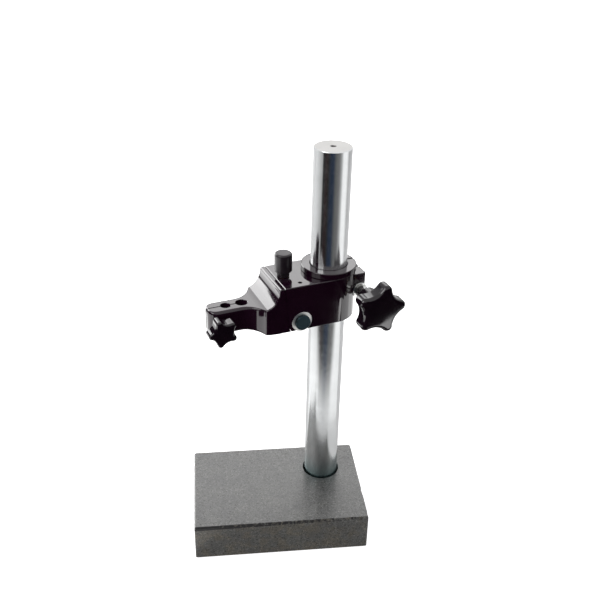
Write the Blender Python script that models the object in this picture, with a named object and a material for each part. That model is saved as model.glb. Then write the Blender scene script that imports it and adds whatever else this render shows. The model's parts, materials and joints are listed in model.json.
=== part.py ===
"""Granite comparator stand: a stone base, a plated column and an arm that slides, swings and tilts.

The origin is the centre of the base's underside, +X runs along the long side and +Z up.
The arm is modelled along its own axes: u from the column to the nose, v sideways towards
the clamp knobs, w up from the arm's underside.
"""
import math

import bmesh
import bpy
from mathutils import Matrix, Vector

# Fits shared by all pieces
GAP = 0.0003
OVERRUN = 0.005

# Granite base
BASE_LENGTH = 0.150
BASE_DEPTH = 0.100
BASE_HEIGHT = 0.035
BASE_CHAMFER = 0.001

# Column, its seat in the stone and the bolt that holds it
COLUMN_RADIUS = 0.015
COLUMN_RISE = 0.310
COLUMN_X = 0.042
COLUMN_Y = 0.0197
COLUMN_CHAMFER = 0.0008
COLUMN_SEAT_DEPTH = 0.012
COLUMN_SEAT_CLEARANCE = 0.0012
CENTRE_RADIUS = 0.0022
CENTRE_DEPTH = 0.0030
CENTRE_DRILL_RADIUS = 0.0009
CENTRE_DRILL_DEPTH = 0.0025
BOLT_RADIUS = 0.006
BOLT_HEAD_ACROSS = 0.018
BOLT_HEAD_HEIGHT = 0.0075
BOLT_ENGAGEMENT = 0.016
BOLT_TIP_ROOM = 0.003
BOLT_HOLE_CLEARANCE = 0.0008
WASHER_RADIUS = 0.012
WASHER_THICKNESS = 0.0025
COUNTERBORE_CLEARANCE = 0.0015
STONE_WEB = 0.011

# Arm on the column
ARM_RISE = 0.168
ARM_TURN_DEGREES = 197
ARM_HEIGHT = 0.0395
ARM_EDGE = 0.0008
HUB_WALL = 0.0047
BUSH_WALL = 0.0017
BUSH_FLANGE_OVERHANG = 0.0006
BUSH_FLANGE_THICKNESS = 0.0047
BUSH_CHAMFER = 0.0008
BUSH_SLIT = 0.0020

# Split lugs behind the hub
LUG_HALF_WIDTH = 0.014
LUG_BELOW_TOP = 0.003
LUG_HEIGHT = 0.0195
LUG_TAIL = 0.006
LUG_CORNER = 0.0025
LUG_SLIT = 0.0035
CLAMP_OFFSET = 0.0047
CLAMP_ABOVE_LUG = 0.0055
CLAMP_SPOTFACE_DEPTH = 0.0003
CLAMP_SPOTFACE_CLEARANCE = 0.0006

# Tilting nose: pivot, tongue in its pocket and the slit between the castings
POCKET_WALL = 0.0033
TAIL_CLEARANCE = 0.0010
TONGUE_TAIL = 0.0102
TONGUE_CORNER = 0.0015
TONGUE_HALF_WIDTH = 0.010
TONGUE_TOP = 0.020
TONGUE_BOTTOM = 0.001
TONGUE_HEADROOM = 0.004
PIN_HEIGHT = 0.0072
LOBE_RADIUS = 0.0115
SLIT_WIDTH = 0.0005
SLIT_CHAMFER = 0.0004
CREST_LENGTH = 0.0024
CREST_ROUND = 0.0018
NOSE_TOP = 0.0225
NOSE_UNDERCUT = 0.002
NOSE_EDGE = 0.003
SHOULDER_ROUND = 0.003
WAIST_RADIUS = 0.0175
WAIST_END_PAST_BORE = 0.0037
NOSE_WALL = 0.00494
TIP_CORNER = 0.008
TIP_EDGE = 0.0025
EDGE_LIMIT_SHARE = 0.95

# Stem bores, three eighths of an inch and 8 mm, with their slit and clamp
LARGE_STEM_RADIUS = 0.00476
SMALL_STEM_RADIUS = 0.004
LARGE_BORE_PAST_SLOPE = 0.0089
BORE_SPACING = 0.0133
STEM_SLIT = 0.0011
STEM_CLAMP_PAST_BORE = 0.0089
STEM_CLAMP_HEIGHT = 0.0102
TIP_PAST_CLAMP = 0.007

# Pivot pin with its head, spotface, clip, bush and lock screw
PIN_RADIUS = 0.003
PIN_HEAD_RADIUS = 0.00635
PIN_HEAD_PROUD = 0.0025
PIN_HEAD_CHAMFER = 0.0006
SPOTFACE_RADIUS = 0.0088
SPOTFACE_DEPTH = 0.001
PIN_TAIL = 0.0024
CLIP_THICKNESS = 0.0008
CLIP_GROOVE_DEPTH = 0.0006
CLIP_WIDTH = 0.0026
CLIP_MOUTH_DEGREES = 80
PIVOT_BUSH_WALL = 0.001
PIN_LOCK_RADIUS = 0.00125
PIN_LOCK_LENGTH = 0.008
PIN_LOCK_HOLE_SHARE = 0.45

# Fine adjustment: screw, bush, hardened pad, knob and return spring
FINE_LEVER = 0.008
FINE_FRONT_WALL = 0.0025
FINE_SCREW_RADIUS = 0.003
FINE_SCREW_IN_KNOB = 0.010
FINE_TIP_ROUND = 0.0012
FINE_BUSH_WALL = 0.0011
FINE_BUSH_LENGTH = 0.011
PAD_RADIUS = 0.0025
PAD_THICKNESS = 0.002
FINE_NECK_RADIUS = 0.005
FINE_NECK_HEIGHT = 0.0044
FINE_HEAD_RADIUS = 0.0071
FINE_HEAD_HEIGHT = 0.0158
FINE_HEAD_ROUND = 0.002
SPRING_SETBACK = 0.0053
SPRING_RADIUS = 0.00275
SPRING_WIRE_RADIUS = 0.00045
SPRING_SIDE_CLEARANCE = 0.0004
SPRING_SEAT_DEPTH = 0.0015
SPRING_CEILING = 0.0065
SPRING_TURNS = 7
SPRING_POINTS_PER_TURN = 9

# Star knobs: lobe and valley radii as shares of the tip radius, lobes counted round
STAR_LOBES = 5
LOBE_SHARE = 0.211
VALLEY_SHARE = 0.657
FRONT_ROUND_SHARE = 0.165
BACK_ROUND_SHARE = 0.05

# Column clamp: knob, insert, shouldered stud and washer
CLAMP_KNOB_TIP = 0.0213
CLAMP_KNOB_THICKNESS = 0.012
CLAMP_KNOB_ANGLE_DEGREES = 4.5
CLAMP_NECK_RADIUS = 0.0085
CLAMP_NECK_LENGTH = 0.015
CLAMP_STUD_RADIUS = 0.003
CLAMP_SHOULDER_RADIUS = 0.005
CLAMP_SHOULDER_LENGTH = 0.0115
CLAMP_WASHER_RADIUS = 0.0065
CLAMP_WASHER_THICKNESS = 0.0016
CLAMP_INSERT_WALL = 0.0022
CLAMP_INSERT_LENGTH = 0.014

# Stem clamp: knob, insert, stud and washer
STEM_KNOB_TIP = 0.012
STEM_KNOB_THICKNESS = 0.010
STEM_KNOB_ANGLE_DEGREES = 39
STEM_NECK_RADIUS = 0.0055
STEM_NECK_LENGTH = 0.0017
STEM_STUD_RADIUS = 0.0025
STEM_SHOULDER_RADIUS = 0.0025
STEM_SHOULDER_LENGTH = 0.0
STEM_WASHER_RADIUS = 0.005
STEM_WASHER_THICKNESS = 0.001
STEM_INSERT_WALL = 0.0011
STEM_INSERT_LENGTH = 0.008
STUD_HOLE_CLEARANCE = 0.0004
STUD_END_SETBACK = 0.001
STUD_IN_INSERT_SHARE = 0.85

# Facets
COLUMN_SIDES = 64
HUB_SIDES = 56
ROUND_SIDES = 40
SMALL_SIDES = 28
SECTION_STEPS = 4
ARC_STEPS = 12
ROUND_STEPS = 5
STAR_STEPS = 6
SMOOTH_ANGLE_DEGREES = 35

# Sizes that follow from the named ones
BUSH_BORE = COLUMN_RADIUS + GAP
BUSH_RADIUS = BUSH_BORE + BUSH_WALL
HUB_BORE = BUSH_RADIUS + GAP
ARM_HALF_WIDTH = HUB_BORE + HUB_WALL
BUSH_FLANGE_RADIUS = ARM_HALF_WIDTH + BUSH_FLANGE_OVERHANG
POCKET_REAR = HUB_BORE + POCKET_WALL
PIN_REACH = POCKET_REAR + TAIL_CLEARANCE + TONGUE_TAIL
POCKET_TOP = TONGUE_TOP + TONGUE_HEADROOM
FINE_REACH = PIN_REACH + FINE_LEVER
FINE_BUSH_RADIUS = FINE_SCREW_RADIUS + GAP + FINE_BUSH_WALL
SLIT_REACH = FINE_REACH + FINE_BUSH_RADIUS + GAP + FINE_FRONT_WALL
SPRING_REACH = PIN_REACH - SPRING_SETBACK
SPRING_BORE_TOP = ARM_HEIGHT - SPRING_CEILING
SPRING_BORE = SPRING_RADIUS + SPRING_WIRE_RADIUS + SPRING_SIDE_CLEARANCE
PIVOT_BUSH_RADIUS = PIN_RADIUS + GAP + PIVOT_BUSH_WALL
SLOPE_RADIUS = ARM_HEIGHT - NOSE_TOP - CREST_ROUND
CREST_END = SLIT_REACH + CREST_LENGTH
SLOPE_END = CREST_END + CREST_ROUND + SLOPE_RADIUS
LARGE_BORE_REACH = SLOPE_END + LARGE_BORE_PAST_SLOPE
SMALL_BORE_REACH = LARGE_BORE_REACH + BORE_SPACING
STEM_CLAMP_REACH = SMALL_BORE_REACH + STEM_CLAMP_PAST_BORE
TIP_REACH = STEM_CLAMP_REACH + TIP_PAST_CLAMP
NOSE_HALF_WIDTH = LARGE_STEM_RADIUS + NOSE_WALL
WAIST_END = LARGE_BORE_REACH + WAIST_END_PAST_BORE
LUG_LOW = ARM_HEIGHT - LUG_BELOW_TOP - LUG_HEIGHT
CLAMP_REACH = HUB_BORE + CLAMP_OFFSET
CLAMP_HEIGHT = LUG_LOW + CLAMP_ABOVE_LUG
CLAMP_FACE = LUG_HALF_WIDTH - CLAMP_SPOTFACE_DEPTH
COLUMN_FOOT = BASE_HEIGHT - COLUMN_SEAT_DEPTH + GAP
COUNTERBORE_DEPTH = BASE_HEIGHT - COLUMN_SEAT_DEPTH - STONE_WEB


def clear_scene():
    """Remove what the scene holds."""
    for piece in list(bpy.data.objects):
        bpy.data.objects.remove(piece)


def finish(name, colour, roughness, metallic=0.0):
    """A plain Principled finish for one sub-part."""
    made = bpy.data.materials.new(name)
    made.use_nodes = True
    shader = made.node_tree.nodes["Principled BSDF"]
    shader.inputs["Base Color"].default_value = (*colour, 1.0)
    shader.inputs["Roughness"].default_value = roughness
    shader.inputs["Metallic"].default_value = metallic
    made.diffuse_color = (*colour, 1.0)
    return made


def solid(name, shape):
    """Turn a bmesh into an object with its faces pointing out."""
    bmesh.ops.recalc_face_normals(shape, faces=shape.faces)
    mesh = bpy.data.meshes.new(name)
    shape.to_mesh(mesh)
    shape.free()
    piece = bpy.data.objects.new(name, mesh)
    bpy.context.collection.objects.link(piece)
    return piece


def arc(centre_a, centre_b, radius, start, end, steps):
    """Points of an arc in a plane, from one angle to the other in degrees."""
    points = []
    for step in range(steps + 1):
        angle = math.radians(start + (end - start) * step / steps)
        points.append((centre_a + radius * math.cos(angle), centre_b + radius * math.sin(angle)))
    return points


def loft(rings):
    """Skin over closed rings of equal length, with a flat face on each end."""
    shape = bmesh.new()
    loops = [[shape.verts.new(point) for point in ring] for ring in rings]
    for lower, upper in zip(loops, loops[1:]):
        count = len(lower)
        for place in range(count):
            after = (place + 1) % count
            shape.faces.new((lower[place], lower[after], upper[after], upper[place]))
    shape.faces.new(loops[0])
    shape.faces.new(loops[-1])
    return shape


def turned(name, profile, sides):
    """A turned piece about z. The profile's (radius, height) points close on the axis or on themselves."""
    shape = bmesh.new()
    rings = []
    for radius, height in profile:
        if radius == 0:
            rings.append([shape.verts.new((0, 0, height))])
            continue
        ring = []
        for side in range(sides):
            angle = math.tau * side / sides
            ring.append(shape.verts.new((radius * math.cos(angle), radius * math.sin(angle), height)))
        rings.append(ring)
    pairs = list(zip(rings, rings[1:]))
    if len(rings[0]) > 1:
        pairs.append((rings[-1], rings[0]))
    for lower, upper in pairs:
        for side in range(sides):
            after = (side + 1) % sides
            if len(lower) == 1:
                shape.faces.new((lower[0], upper[after], upper[side]))
            elif len(upper) == 1:
                shape.faces.new((lower[side], lower[after], upper[0]))
            else:
                shape.faces.new((lower[side], lower[after], upper[after], upper[side]))
    return solid(name, shape)


def rod(name, radius, low, high, sides=ROUND_SIDES):
    """A plain cylinder about z."""
    return turned(name, [(0, low), (radius, low), (radius, high), (0, high)], sides)


def pipe(name, bore, radius, low, high, sides=ROUND_SIDES):
    """A plain ring about z."""
    return turned(name, [(bore, low), (radius, low), (radius, high), (bore, high)], sides)


def prism(name, outline, low, high):
    """An outline in the u, v plane raised from one height to the other."""
    return solid(name, loft([[(u, v, height) for u, v in outline] for height in (low, high)]))


def side_prism(name, outline, half_width):
    """An outline in the u, w plane carried sideways to both sides."""
    return solid(name, loft([[(u, v, w) for u, w in outline] for v in (-half_width, half_width)]))


def moved(piece, u=0, v=0, w=0, sideways=False):
    """Move a mesh within its object. Sideways lays its z axis along +v first."""
    if sideways:
        piece.data.transform(Matrix.Rotation(-math.pi / 2, 4, "X"))
    piece.data.transform(Matrix.Translation((u, v, w)))
    return piece


def apply_modifiers(piece):
    """Keep the evaluated mesh and drop the modifiers."""
    bpy.context.view_layer.update()
    evaluated = piece.evaluated_get(bpy.context.evaluated_depsgraph_get())
    made = bpy.data.meshes.new_from_object(evaluated)
    piece.modifiers.clear()
    piece.data = made
    made.name = piece.name


def combine(piece, others, operation):
    """Run one boolean per other object on the piece and remove the others."""
    for other in others:
        step = piece.modifiers.new(operation.lower(), "BOOLEAN")
        step.operation = operation
        step.solver = "EXACT"
        step.object = other
    apply_modifiers(piece)
    for other in others:
        bpy.data.objects.remove(other)
    return piece


def bevelled(piece, width, segments=1):
    """Break the sharp edges of a piece."""
    step = piece.modifiers.new("bevel", "BEVEL")
    step.width = width
    step.segments = segments
    step.limit_method = "ANGLE"
    step.angle_limit = math.radians(SMOOTH_ANGLE_DEGREES)
    apply_modifiers(piece)
    return piece


def complete(piece, material, parent=None, place=(0, 0, 0)):
    """Give a piece its finish, its smooth shading, its parent and its place."""
    piece.data.materials.clear()
    piece.data.materials.append(material)
    if piece.type == "MESH":
        piece.data.shade_smooth()
        piece.data.set_sharp_from_angle(angle=math.radians(SMOOTH_ANGLE_DEGREES))
    piece.parent = parent
    piece.location = place
    return piece


def axis_empty(name, parent, place, sideways=False, turn=0):
    """An empty on a joint's axis. Sideways lays its z axis along the parent's +v."""
    empty = bpy.data.objects.new(name, None)
    bpy.context.collection.objects.link(empty)
    empty.empty_display_size = COLUMN_RADIUS
    empty.parent = parent
    empty.location = place
    empty.rotation_euler = (-math.pi / 2 if sideways else 0, 0, turn)
    return empty


def make_granite_base(stone):
    """A stone block with broken edges, the column's seat above and the bolt's counterbore below."""
    shape = bmesh.new()
    bmesh.ops.create_cube(shape, size=1)
    bmesh.ops.scale(shape, vec=(BASE_LENGTH, BASE_DEPTH, BASE_HEIGHT), verts=shape.verts)
    base = moved(solid("granite_base", shape), w=BASE_HEIGHT / 2)
    bevelled(base, BASE_CHAMFER)
    seat = rod("seat", COLUMN_RADIUS + COLUMN_SEAT_CLEARANCE,
               BASE_HEIGHT - COLUMN_SEAT_DEPTH, BASE_HEIGHT + OVERRUN, COLUMN_SIDES)
    hole = rod("bolt_hole", BOLT_RADIUS + BOLT_HOLE_CLEARANCE, -OVERRUN, BASE_HEIGHT, ROUND_SIDES)
    counterbore = rod("counterbore", WASHER_RADIUS + COUNTERBORE_CLEARANCE, -OVERRUN, COUNTERBORE_DEPTH)
    cutters = [moved(cutter, COLUMN_X, COLUMN_Y) for cutter in (seat, hole, counterbore)]
    combine(base, cutters, "DIFFERENCE")
    return complete(base, stone)


def make_column(chrome):
    """A turned bar, centre drilled on top, tapped below and chamfered at both ends."""
    top = BASE_HEIGHT + COLUMN_RISE
    tap = BOLT_RADIUS + GAP
    profile = [(0, COLUMN_FOOT + BOLT_ENGAGEMENT + BOLT_TIP_ROOM),
               (tap, COLUMN_FOOT + BOLT_ENGAGEMENT + BOLT_TIP_ROOM),
               (tap, COLUMN_FOOT),
               (COLUMN_RADIUS - COLUMN_CHAMFER, COLUMN_FOOT),
               (COLUMN_RADIUS, COLUMN_FOOT + COLUMN_CHAMFER),
               (COLUMN_RADIUS, top - COLUMN_CHAMFER),
               (COLUMN_RADIUS - COLUMN_CHAMFER, top),
               (CENTRE_RADIUS, top),
               (CENTRE_DRILL_RADIUS, top - CENTRE_DEPTH),
               (CENTRE_DRILL_RADIUS, top - CENTRE_DEPTH - CENTRE_DRILL_DEPTH),
               (0, top - CENTRE_DEPTH - CENTRE_DRILL_DEPTH)]
    column = turned("column", profile, COLUMN_SIDES)
    return complete(column, chrome, place=(COLUMN_X, COLUMN_Y, 0))


def make_column_fixing(steel):
    """The bolt and washer that pull the column down from below."""
    place = (COLUMN_X, COLUMN_Y, 0)
    washer_low = COUNTERBORE_DEPTH - GAP - WASHER_THICKNESS
    washer = pipe("column_washer", BOLT_RADIUS + GAP, WASHER_RADIUS, washer_low, COUNTERBORE_DEPTH - GAP)
    complete(washer, steel, place=place)
    head_top = washer_low - GAP
    corner_radius = BOLT_HEAD_ACROSS / math.sqrt(3)
    head = rod("column_bolt", corner_radius, head_top - BOLT_HEAD_HEIGHT, head_top, sides=6)
    shank = rod("shank", BOLT_RADIUS, head_top - BOLT_HEAD_HEIGHT / 2, COLUMN_FOOT + BOLT_ENGAGEMENT)
    combine(head, [shank], "UNION")
    complete(head, steel, place=place)


def make_hub_bush(metal, parent):
    """A split bush whose flange caps the hub. The arm swings on it and the clamp closes it on the column."""
    low = GAP
    seat = ARM_HEIGHT + GAP
    top = seat + BUSH_FLANGE_THICKNESS
    profile = [(BUSH_BORE, low), (BUSH_RADIUS, low), (BUSH_RADIUS, seat),
               (BUSH_FLANGE_RADIUS, seat),
               (BUSH_FLANGE_RADIUS, top - BUSH_CHAMFER),
               (BUSH_FLANGE_RADIUS - BUSH_CHAMFER, top),
               (BUSH_BORE + BUSH_CHAMFER, top),
               (BUSH_BORE, top - BUSH_CHAMFER)]
    bush = turned("hub_bush", profile, HUB_SIDES)
    far = -BUSH_FLANGE_RADIUS - OVERRUN
    half = BUSH_SLIT / 2
    slit = prism("slit", [(0, -half), (0, half), (far, half), (far, -half)], -OVERRUN, top + OVERRUN)
    combine(bush, [slit], "DIFFERENCE")
    return complete(bush, metal, parent)


def slit_front(lobe, reach, lean):
    """The slit's side profile: round the pin, up the tangent and out over a broken edge.

    The line from the top corner touches the lobe's circle where the radius meets it square:
    with d the corner's distance from the pin, that is acos(lobe / d) below the corner's angle.
    """
    rise = ARM_HEIGHT - PIN_HEIGHT
    run = reach - PIN_REACH
    tangent = math.degrees(math.atan2(rise, run) - math.acos(lobe / math.hypot(run, rise)))
    points = arc(PIN_REACH, PIN_HEIGHT, lobe, -90, tangent, ARC_STEPS)
    points.append((reach, ARM_HEIGHT - SLIT_CHAMFER))
    points.append((reach + lean * (SLIT_CHAMFER + OVERRUN), ARM_HEIGHT + OVERRUN))
    return points


def make_arm_body(paint, parent):
    """The rear casting: hub, split lugs, two cheeks round the pin and a bridge over the tongue."""
    front = SLIT_REACH + OVERRUN
    outline = arc(0, 0, ARM_HALF_WIDTH, 90, 270, HUB_SIDES // 2)
    outline += [(front, -ARM_HALF_WIDTH), (front, ARM_HALF_WIDTH)]
    body = bevelled(prism("arm_body", outline, 0, ARM_HEIGHT), ARM_EDGE, 2)

    lug_rear = -CLAMP_REACH - LUG_TAIL
    lug_outline = [(-HUB_BORE, LUG_HALF_WIDTH), (-HUB_BORE, -LUG_HALF_WIDTH)]
    lug_outline += arc(lug_rear + LUG_CORNER, -LUG_HALF_WIDTH + LUG_CORNER, LUG_CORNER, 270, 180,
                       ROUND_STEPS)
    lug_outline += arc(lug_rear + LUG_CORNER, LUG_HALF_WIDTH - LUG_CORNER, LUG_CORNER, 180, 90, ROUND_STEPS)
    lugs = bevelled(prism("lugs", lug_outline, LUG_LOW, LUG_LOW + LUG_HEIGHT), ARM_EDGE, 2)
    combine(body, [lugs], "UNION")

    rear = lug_rear - OVERRUN
    profile = slit_front(LOBE_RADIUS, SLIT_REACH - SLIT_WIDTH / 2, -1)
    profile += [(rear, ARM_HEIGHT + OVERRUN), (rear, PIN_HEIGHT - LOBE_RADIUS)]
    combine(body, [side_prism("kept", profile, ARM_HALF_WIDTH + OVERRUN)], "INTERSECT")

    half_pocket = TONGUE_HALF_WIDTH + GAP
    pocket = prism("pocket", [(POCKET_REAR, -half_pocket), (front, -half_pocket),
                              (front, half_pocket), (POCKET_REAR, half_pocket)], -OVERRUN, POCKET_TOP)
    half_slit = LUG_SLIT / 2
    lug_slit = prism("lug_slit", [(0, -half_slit), (0, half_slit), (rear, half_slit), (rear, -half_slit)],
                     -OVERRUN, ARM_HEIGHT + OVERRUN)
    hub_bore = rod("hub_bore", HUB_BORE, -OVERRUN, ARM_HEIGHT + OVERRUN, HUB_SIDES)
    side = ARM_HALF_WIDTH + OVERRUN
    pin_bore = moved(rod("pin_bore", PIN_RADIUS + GAP, -side, side, SMALL_SIDES),
                     PIN_REACH, 0, PIN_HEIGHT, sideways=True)
    spotface = moved(rod("spotface", SPOTFACE_RADIUS, ARM_HALF_WIDTH - SPOTFACE_DEPTH, side),
                     PIN_REACH, 0, PIN_HEIGHT, sideways=True)
    clamp_near = moved(rod("clamp_near", CLAMP_STUD_RADIUS + STUD_HOLE_CLEARANCE, 0, side, SMALL_SIDES),
                       -CLAMP_REACH, 0, CLAMP_HEIGHT, sideways=True)
    clamp_far = moved(rod("clamp_far", CLAMP_STUD_RADIUS + GAP, -side, 0, SMALL_SIDES),
                      -CLAMP_REACH, 0, CLAMP_HEIGHT, sideways=True)
    clamp_spotface = moved(rod("clamp_spotface", CLAMP_WASHER_RADIUS + CLAMP_SPOTFACE_CLEARANCE,
                               CLAMP_FACE, side), -CLAMP_REACH, 0, CLAMP_HEIGHT, sideways=True)
    bush_bore = moved(rod("bush_bore", FINE_BUSH_RADIUS + GAP, POCKET_TOP - OVERRUN, ARM_HEIGHT + OVERRUN),
                      FINE_REACH)
    spring_bore = moved(rod("spring_bore", SPRING_BORE, POCKET_TOP - OVERRUN, SPRING_BORE_TOP, SMALL_SIDES),
                        SPRING_REACH)
    lock_hole = moved(rod("lock_hole", PIN_LOCK_RADIUS + GAP, PIN_HEIGHT, ARM_HEIGHT + OVERRUN, SMALL_SIDES),
                      PIN_REACH, lock_screw_side())
    combine(body, [pocket, lug_slit, hub_bore, pin_bore, spotface, clamp_near, clamp_far,
                   clamp_spotface, bush_bore, spring_bore, lock_hole], "DIFFERENCE")
    return complete(body, paint, parent)


def lock_screw_side():
    """How far out in the near cheek the pin's lock screw sits."""
    inner = TONGUE_HALF_WIDTH + GAP
    return inner + (ARM_HALF_WIDTH - inner) * PIN_LOCK_HOLE_SHARE


def shoulder_centre():
    """Centre of the round that leads from the arm's side into the waist, as (u, v).

    It touches the arm's side from within and the waist's arc from outside.
    """
    side = ARM_HALF_WIDTH - SHOULDER_ROUND
    across = NOSE_HALF_WIDTH + WAIST_RADIUS - side
    along = math.sqrt(max((WAIST_RADIUS + SHOULDER_ROUND) ** 2 - across ** 2, 0))
    return WAIST_END - along, side


def half_width_at(u):
    """Half width of the nose lever at u: arm, shoulder round, waist arc, nose, tip corner."""
    centre_u, centre_v = shoulder_centre()
    waist_share = SHOULDER_ROUND / (SHOULDER_ROUND + WAIST_RADIUS)
    meet = centre_u + (WAIST_END - centre_u) * waist_share
    corner = min(TIP_CORNER, NOSE_HALF_WIDTH)
    past_corner = u - (TIP_REACH - corner)
    if u <= centre_u:
        return ARM_HALF_WIDTH
    if u <= meet:
        return centre_v + math.sqrt(SHOULDER_ROUND ** 2 - (u - centre_u) ** 2)
    if u < WAIST_END:
        return NOSE_HALF_WIDTH + WAIST_RADIUS - math.sqrt(WAIST_RADIUS ** 2 - (WAIST_END - u) ** 2)
    if past_corner <= 0:
        return NOSE_HALF_WIDTH
    return NOSE_HALF_WIDTH - corner + math.sqrt(max(corner ** 2 - past_corner ** 2, 0))


def top_at(u):
    """Top of the nose lever at u: crest, rounded over into a hollow slope, then the flat nose."""
    past_crest = u - CREST_END
    past_tip = u - (TIP_REACH - TIP_EDGE)
    if past_crest <= 0:
        return ARM_HEIGHT
    if past_crest <= CREST_ROUND:
        return ARM_HEIGHT - CREST_ROUND + math.sqrt(CREST_ROUND ** 2 - past_crest ** 2)
    if u < SLOPE_END:
        return NOSE_TOP + SLOPE_RADIUS - math.sqrt(SLOPE_RADIUS ** 2 - (SLOPE_END - u) ** 2)
    if past_tip <= 0:
        return NOSE_TOP
    return NOSE_TOP - TIP_EDGE + math.sqrt(max(TIP_EDGE ** 2 - past_tip ** 2, 0))


def rise_share_at(u):
    """How far along the underside's rise u lies, eased at both ends."""
    start = CREST_END + CREST_ROUND
    share = min(max((u - start) / (WAIST_END - start), 0), 1)
    return (1 - math.cos(math.pi * share)) / 2


def bottom_at(u):
    """Underside of the nose lever at u, which rises a little towards the nose."""
    past_tip = u - (TIP_REACH - TIP_EDGE)
    low = NOSE_UNDERCUT * rise_share_at(u)
    if past_tip <= 0:
        return low
    return low + TIP_EDGE - math.sqrt(max(TIP_EDGE ** 2 - past_tip ** 2, 0))


def lever_stations():
    """Places along u where the loft has a section, closer together where the form turns."""
    centre_u, _ = shoulder_centre()
    meet = centre_u + (WAIST_END - centre_u) * SHOULDER_ROUND / (SHOULDER_ROUND + WAIST_RADIUS)
    waist_start = math.degrees(math.asin(min((WAIST_END - meet) / WAIST_RADIUS, 1)))
    corner = min(TIP_CORNER, NOSE_HALF_WIDTH)
    places = [PIN_REACH]
    places += [u for u, _ in arc(CREST_END, 0, CREST_ROUND, 90, 0, ROUND_STEPS)]
    places += [u for u, _ in arc(SLOPE_END, 0, SLOPE_RADIUS, 180, 90, ARC_STEPS)]
    places += [u for u, _ in arc(centre_u, 0, SHOULDER_ROUND, 90, 0, ROUND_STEPS) if u < meet]
    places += [u for u, _ in arc(WAIST_END, 0, WAIST_RADIUS, 90 + waist_start, 90, ROUND_STEPS + 3)]
    places += [u for u, _ in arc(TIP_REACH - corner, 0, corner, 90, 0, ARC_STEPS - 2)]
    places.sort()
    kept = [places[0]]
    for u in places[1:]:
        if u - kept[-1] > GAP / 2:
            kept.append(u)
    return kept


def lever_section(u):
    """A rounded rectangle across the lever at u."""
    half = half_width_at(u)
    low = bottom_at(u)
    high = top_at(u)
    radius = ARM_EDGE + (NOSE_EDGE - ARM_EDGE) * rise_share_at(u)
    radius = min(radius, half * EDGE_LIMIT_SHARE)
    points = arc(half - radius, high - radius, radius, 0, 90, SECTION_STEPS)
    points += arc(-half + radius, high - radius, radius, 90, 180, SECTION_STEPS)
    points += arc(-half + radius, low + radius, radius, 180, 270, SECTION_STEPS)
    points += arc(half - radius, low + radius, radius, 270, 360, SECTION_STEPS)
    return [(u, v, w) for v, w in points]


def make_nose_lever(paint, parent):
    """The tilting nose: a lofted fore end with two stem bores, and a tongue that turns on the pin."""
    lever = solid("nose_lever", loft([lever_section(u) for u in lever_stations()]))
    rear = POCKET_REAR - OVERRUN
    profile = slit_front(LOBE_RADIUS + GAP, SLIT_REACH + SLIT_WIDTH / 2, 1)
    profile += [(rear, ARM_HEIGHT + OVERRUN), (rear, PIN_HEIGHT - LOBE_RADIUS - GAP)]
    combine(lever, [side_prism("behind", profile, ARM_HALF_WIDTH + OVERRUN)], "DIFFERENCE")

    tail = PIN_REACH - TONGUE_TAIL
    root = PIN_REACH + LOBE_RADIUS + OVERRUN
    round_off = TONGUE_CORNER
    tongue_profile = arc(tail + round_off, TONGUE_TOP - round_off, round_off, 90, 180, ROUND_STEPS)
    tongue_profile += arc(tail + round_off, TONGUE_BOTTOM + round_off, round_off, 180, 270, ROUND_STEPS)
    tongue_profile += [(root, TONGUE_BOTTOM), (root, TONGUE_TOP)]
    combine(lever, [side_prism("tongue", tongue_profile, TONGUE_HALF_WIDTH)], "UNION")

    side = ARM_HALF_WIDTH + OVERRUN
    above = ARM_HEIGHT + OVERRUN
    pivot_bore = moved(rod("pivot_bore", PIVOT_BUSH_RADIUS + GAP, -side, side, SMALL_SIDES),
                       PIN_REACH, 0, PIN_HEIGHT, sideways=True)
    large_bore = moved(rod("large_bore", LARGE_STEM_RADIUS, -OVERRUN, above), LARGE_BORE_REACH)
    small_bore = moved(rod("small_bore", SMALL_STEM_RADIUS, -OVERRUN, above), SMALL_BORE_REACH)
    half = STEM_SLIT / 2
    far = TIP_REACH + OVERRUN
    slit = prism("stem_slit", [(LARGE_BORE_REACH, -half), (far, -half),
                               (far, half), (LARGE_BORE_REACH, half)], -OVERRUN, above)
    clamp_near = moved(rod("stem_near", STEM_STUD_RADIUS + STUD_HOLE_CLEARANCE, 0, side, SMALL_SIDES),
                       STEM_CLAMP_REACH, 0, STEM_CLAMP_HEIGHT, sideways=True)
    clamp_far = moved(rod("stem_far", STEM_STUD_RADIUS + GAP, -side, 0, SMALL_SIDES),
                      STEM_CLAMP_REACH, 0, STEM_CLAMP_HEIGHT, sideways=True)
    spring_seat = moved(rod("spring_seat", SPRING_BORE, TONGUE_TOP - SPRING_SEAT_DEPTH, POCKET_TOP,
                            SMALL_SIDES), SPRING_REACH)
    pad_seat = moved(rod("pad_seat", PAD_RADIUS + GAP, TONGUE_TOP - PAD_THICKNESS - GAP, POCKET_TOP,
                         SMALL_SIDES), FINE_REACH)
    combine(lever, [pivot_bore, large_bore, small_bore, slit, clamp_near, clamp_far, spring_seat, pad_seat],
            "DIFFERENCE")
    return complete(lever, paint, parent, (-PIN_REACH, 0, -PIN_HEIGHT))


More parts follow.
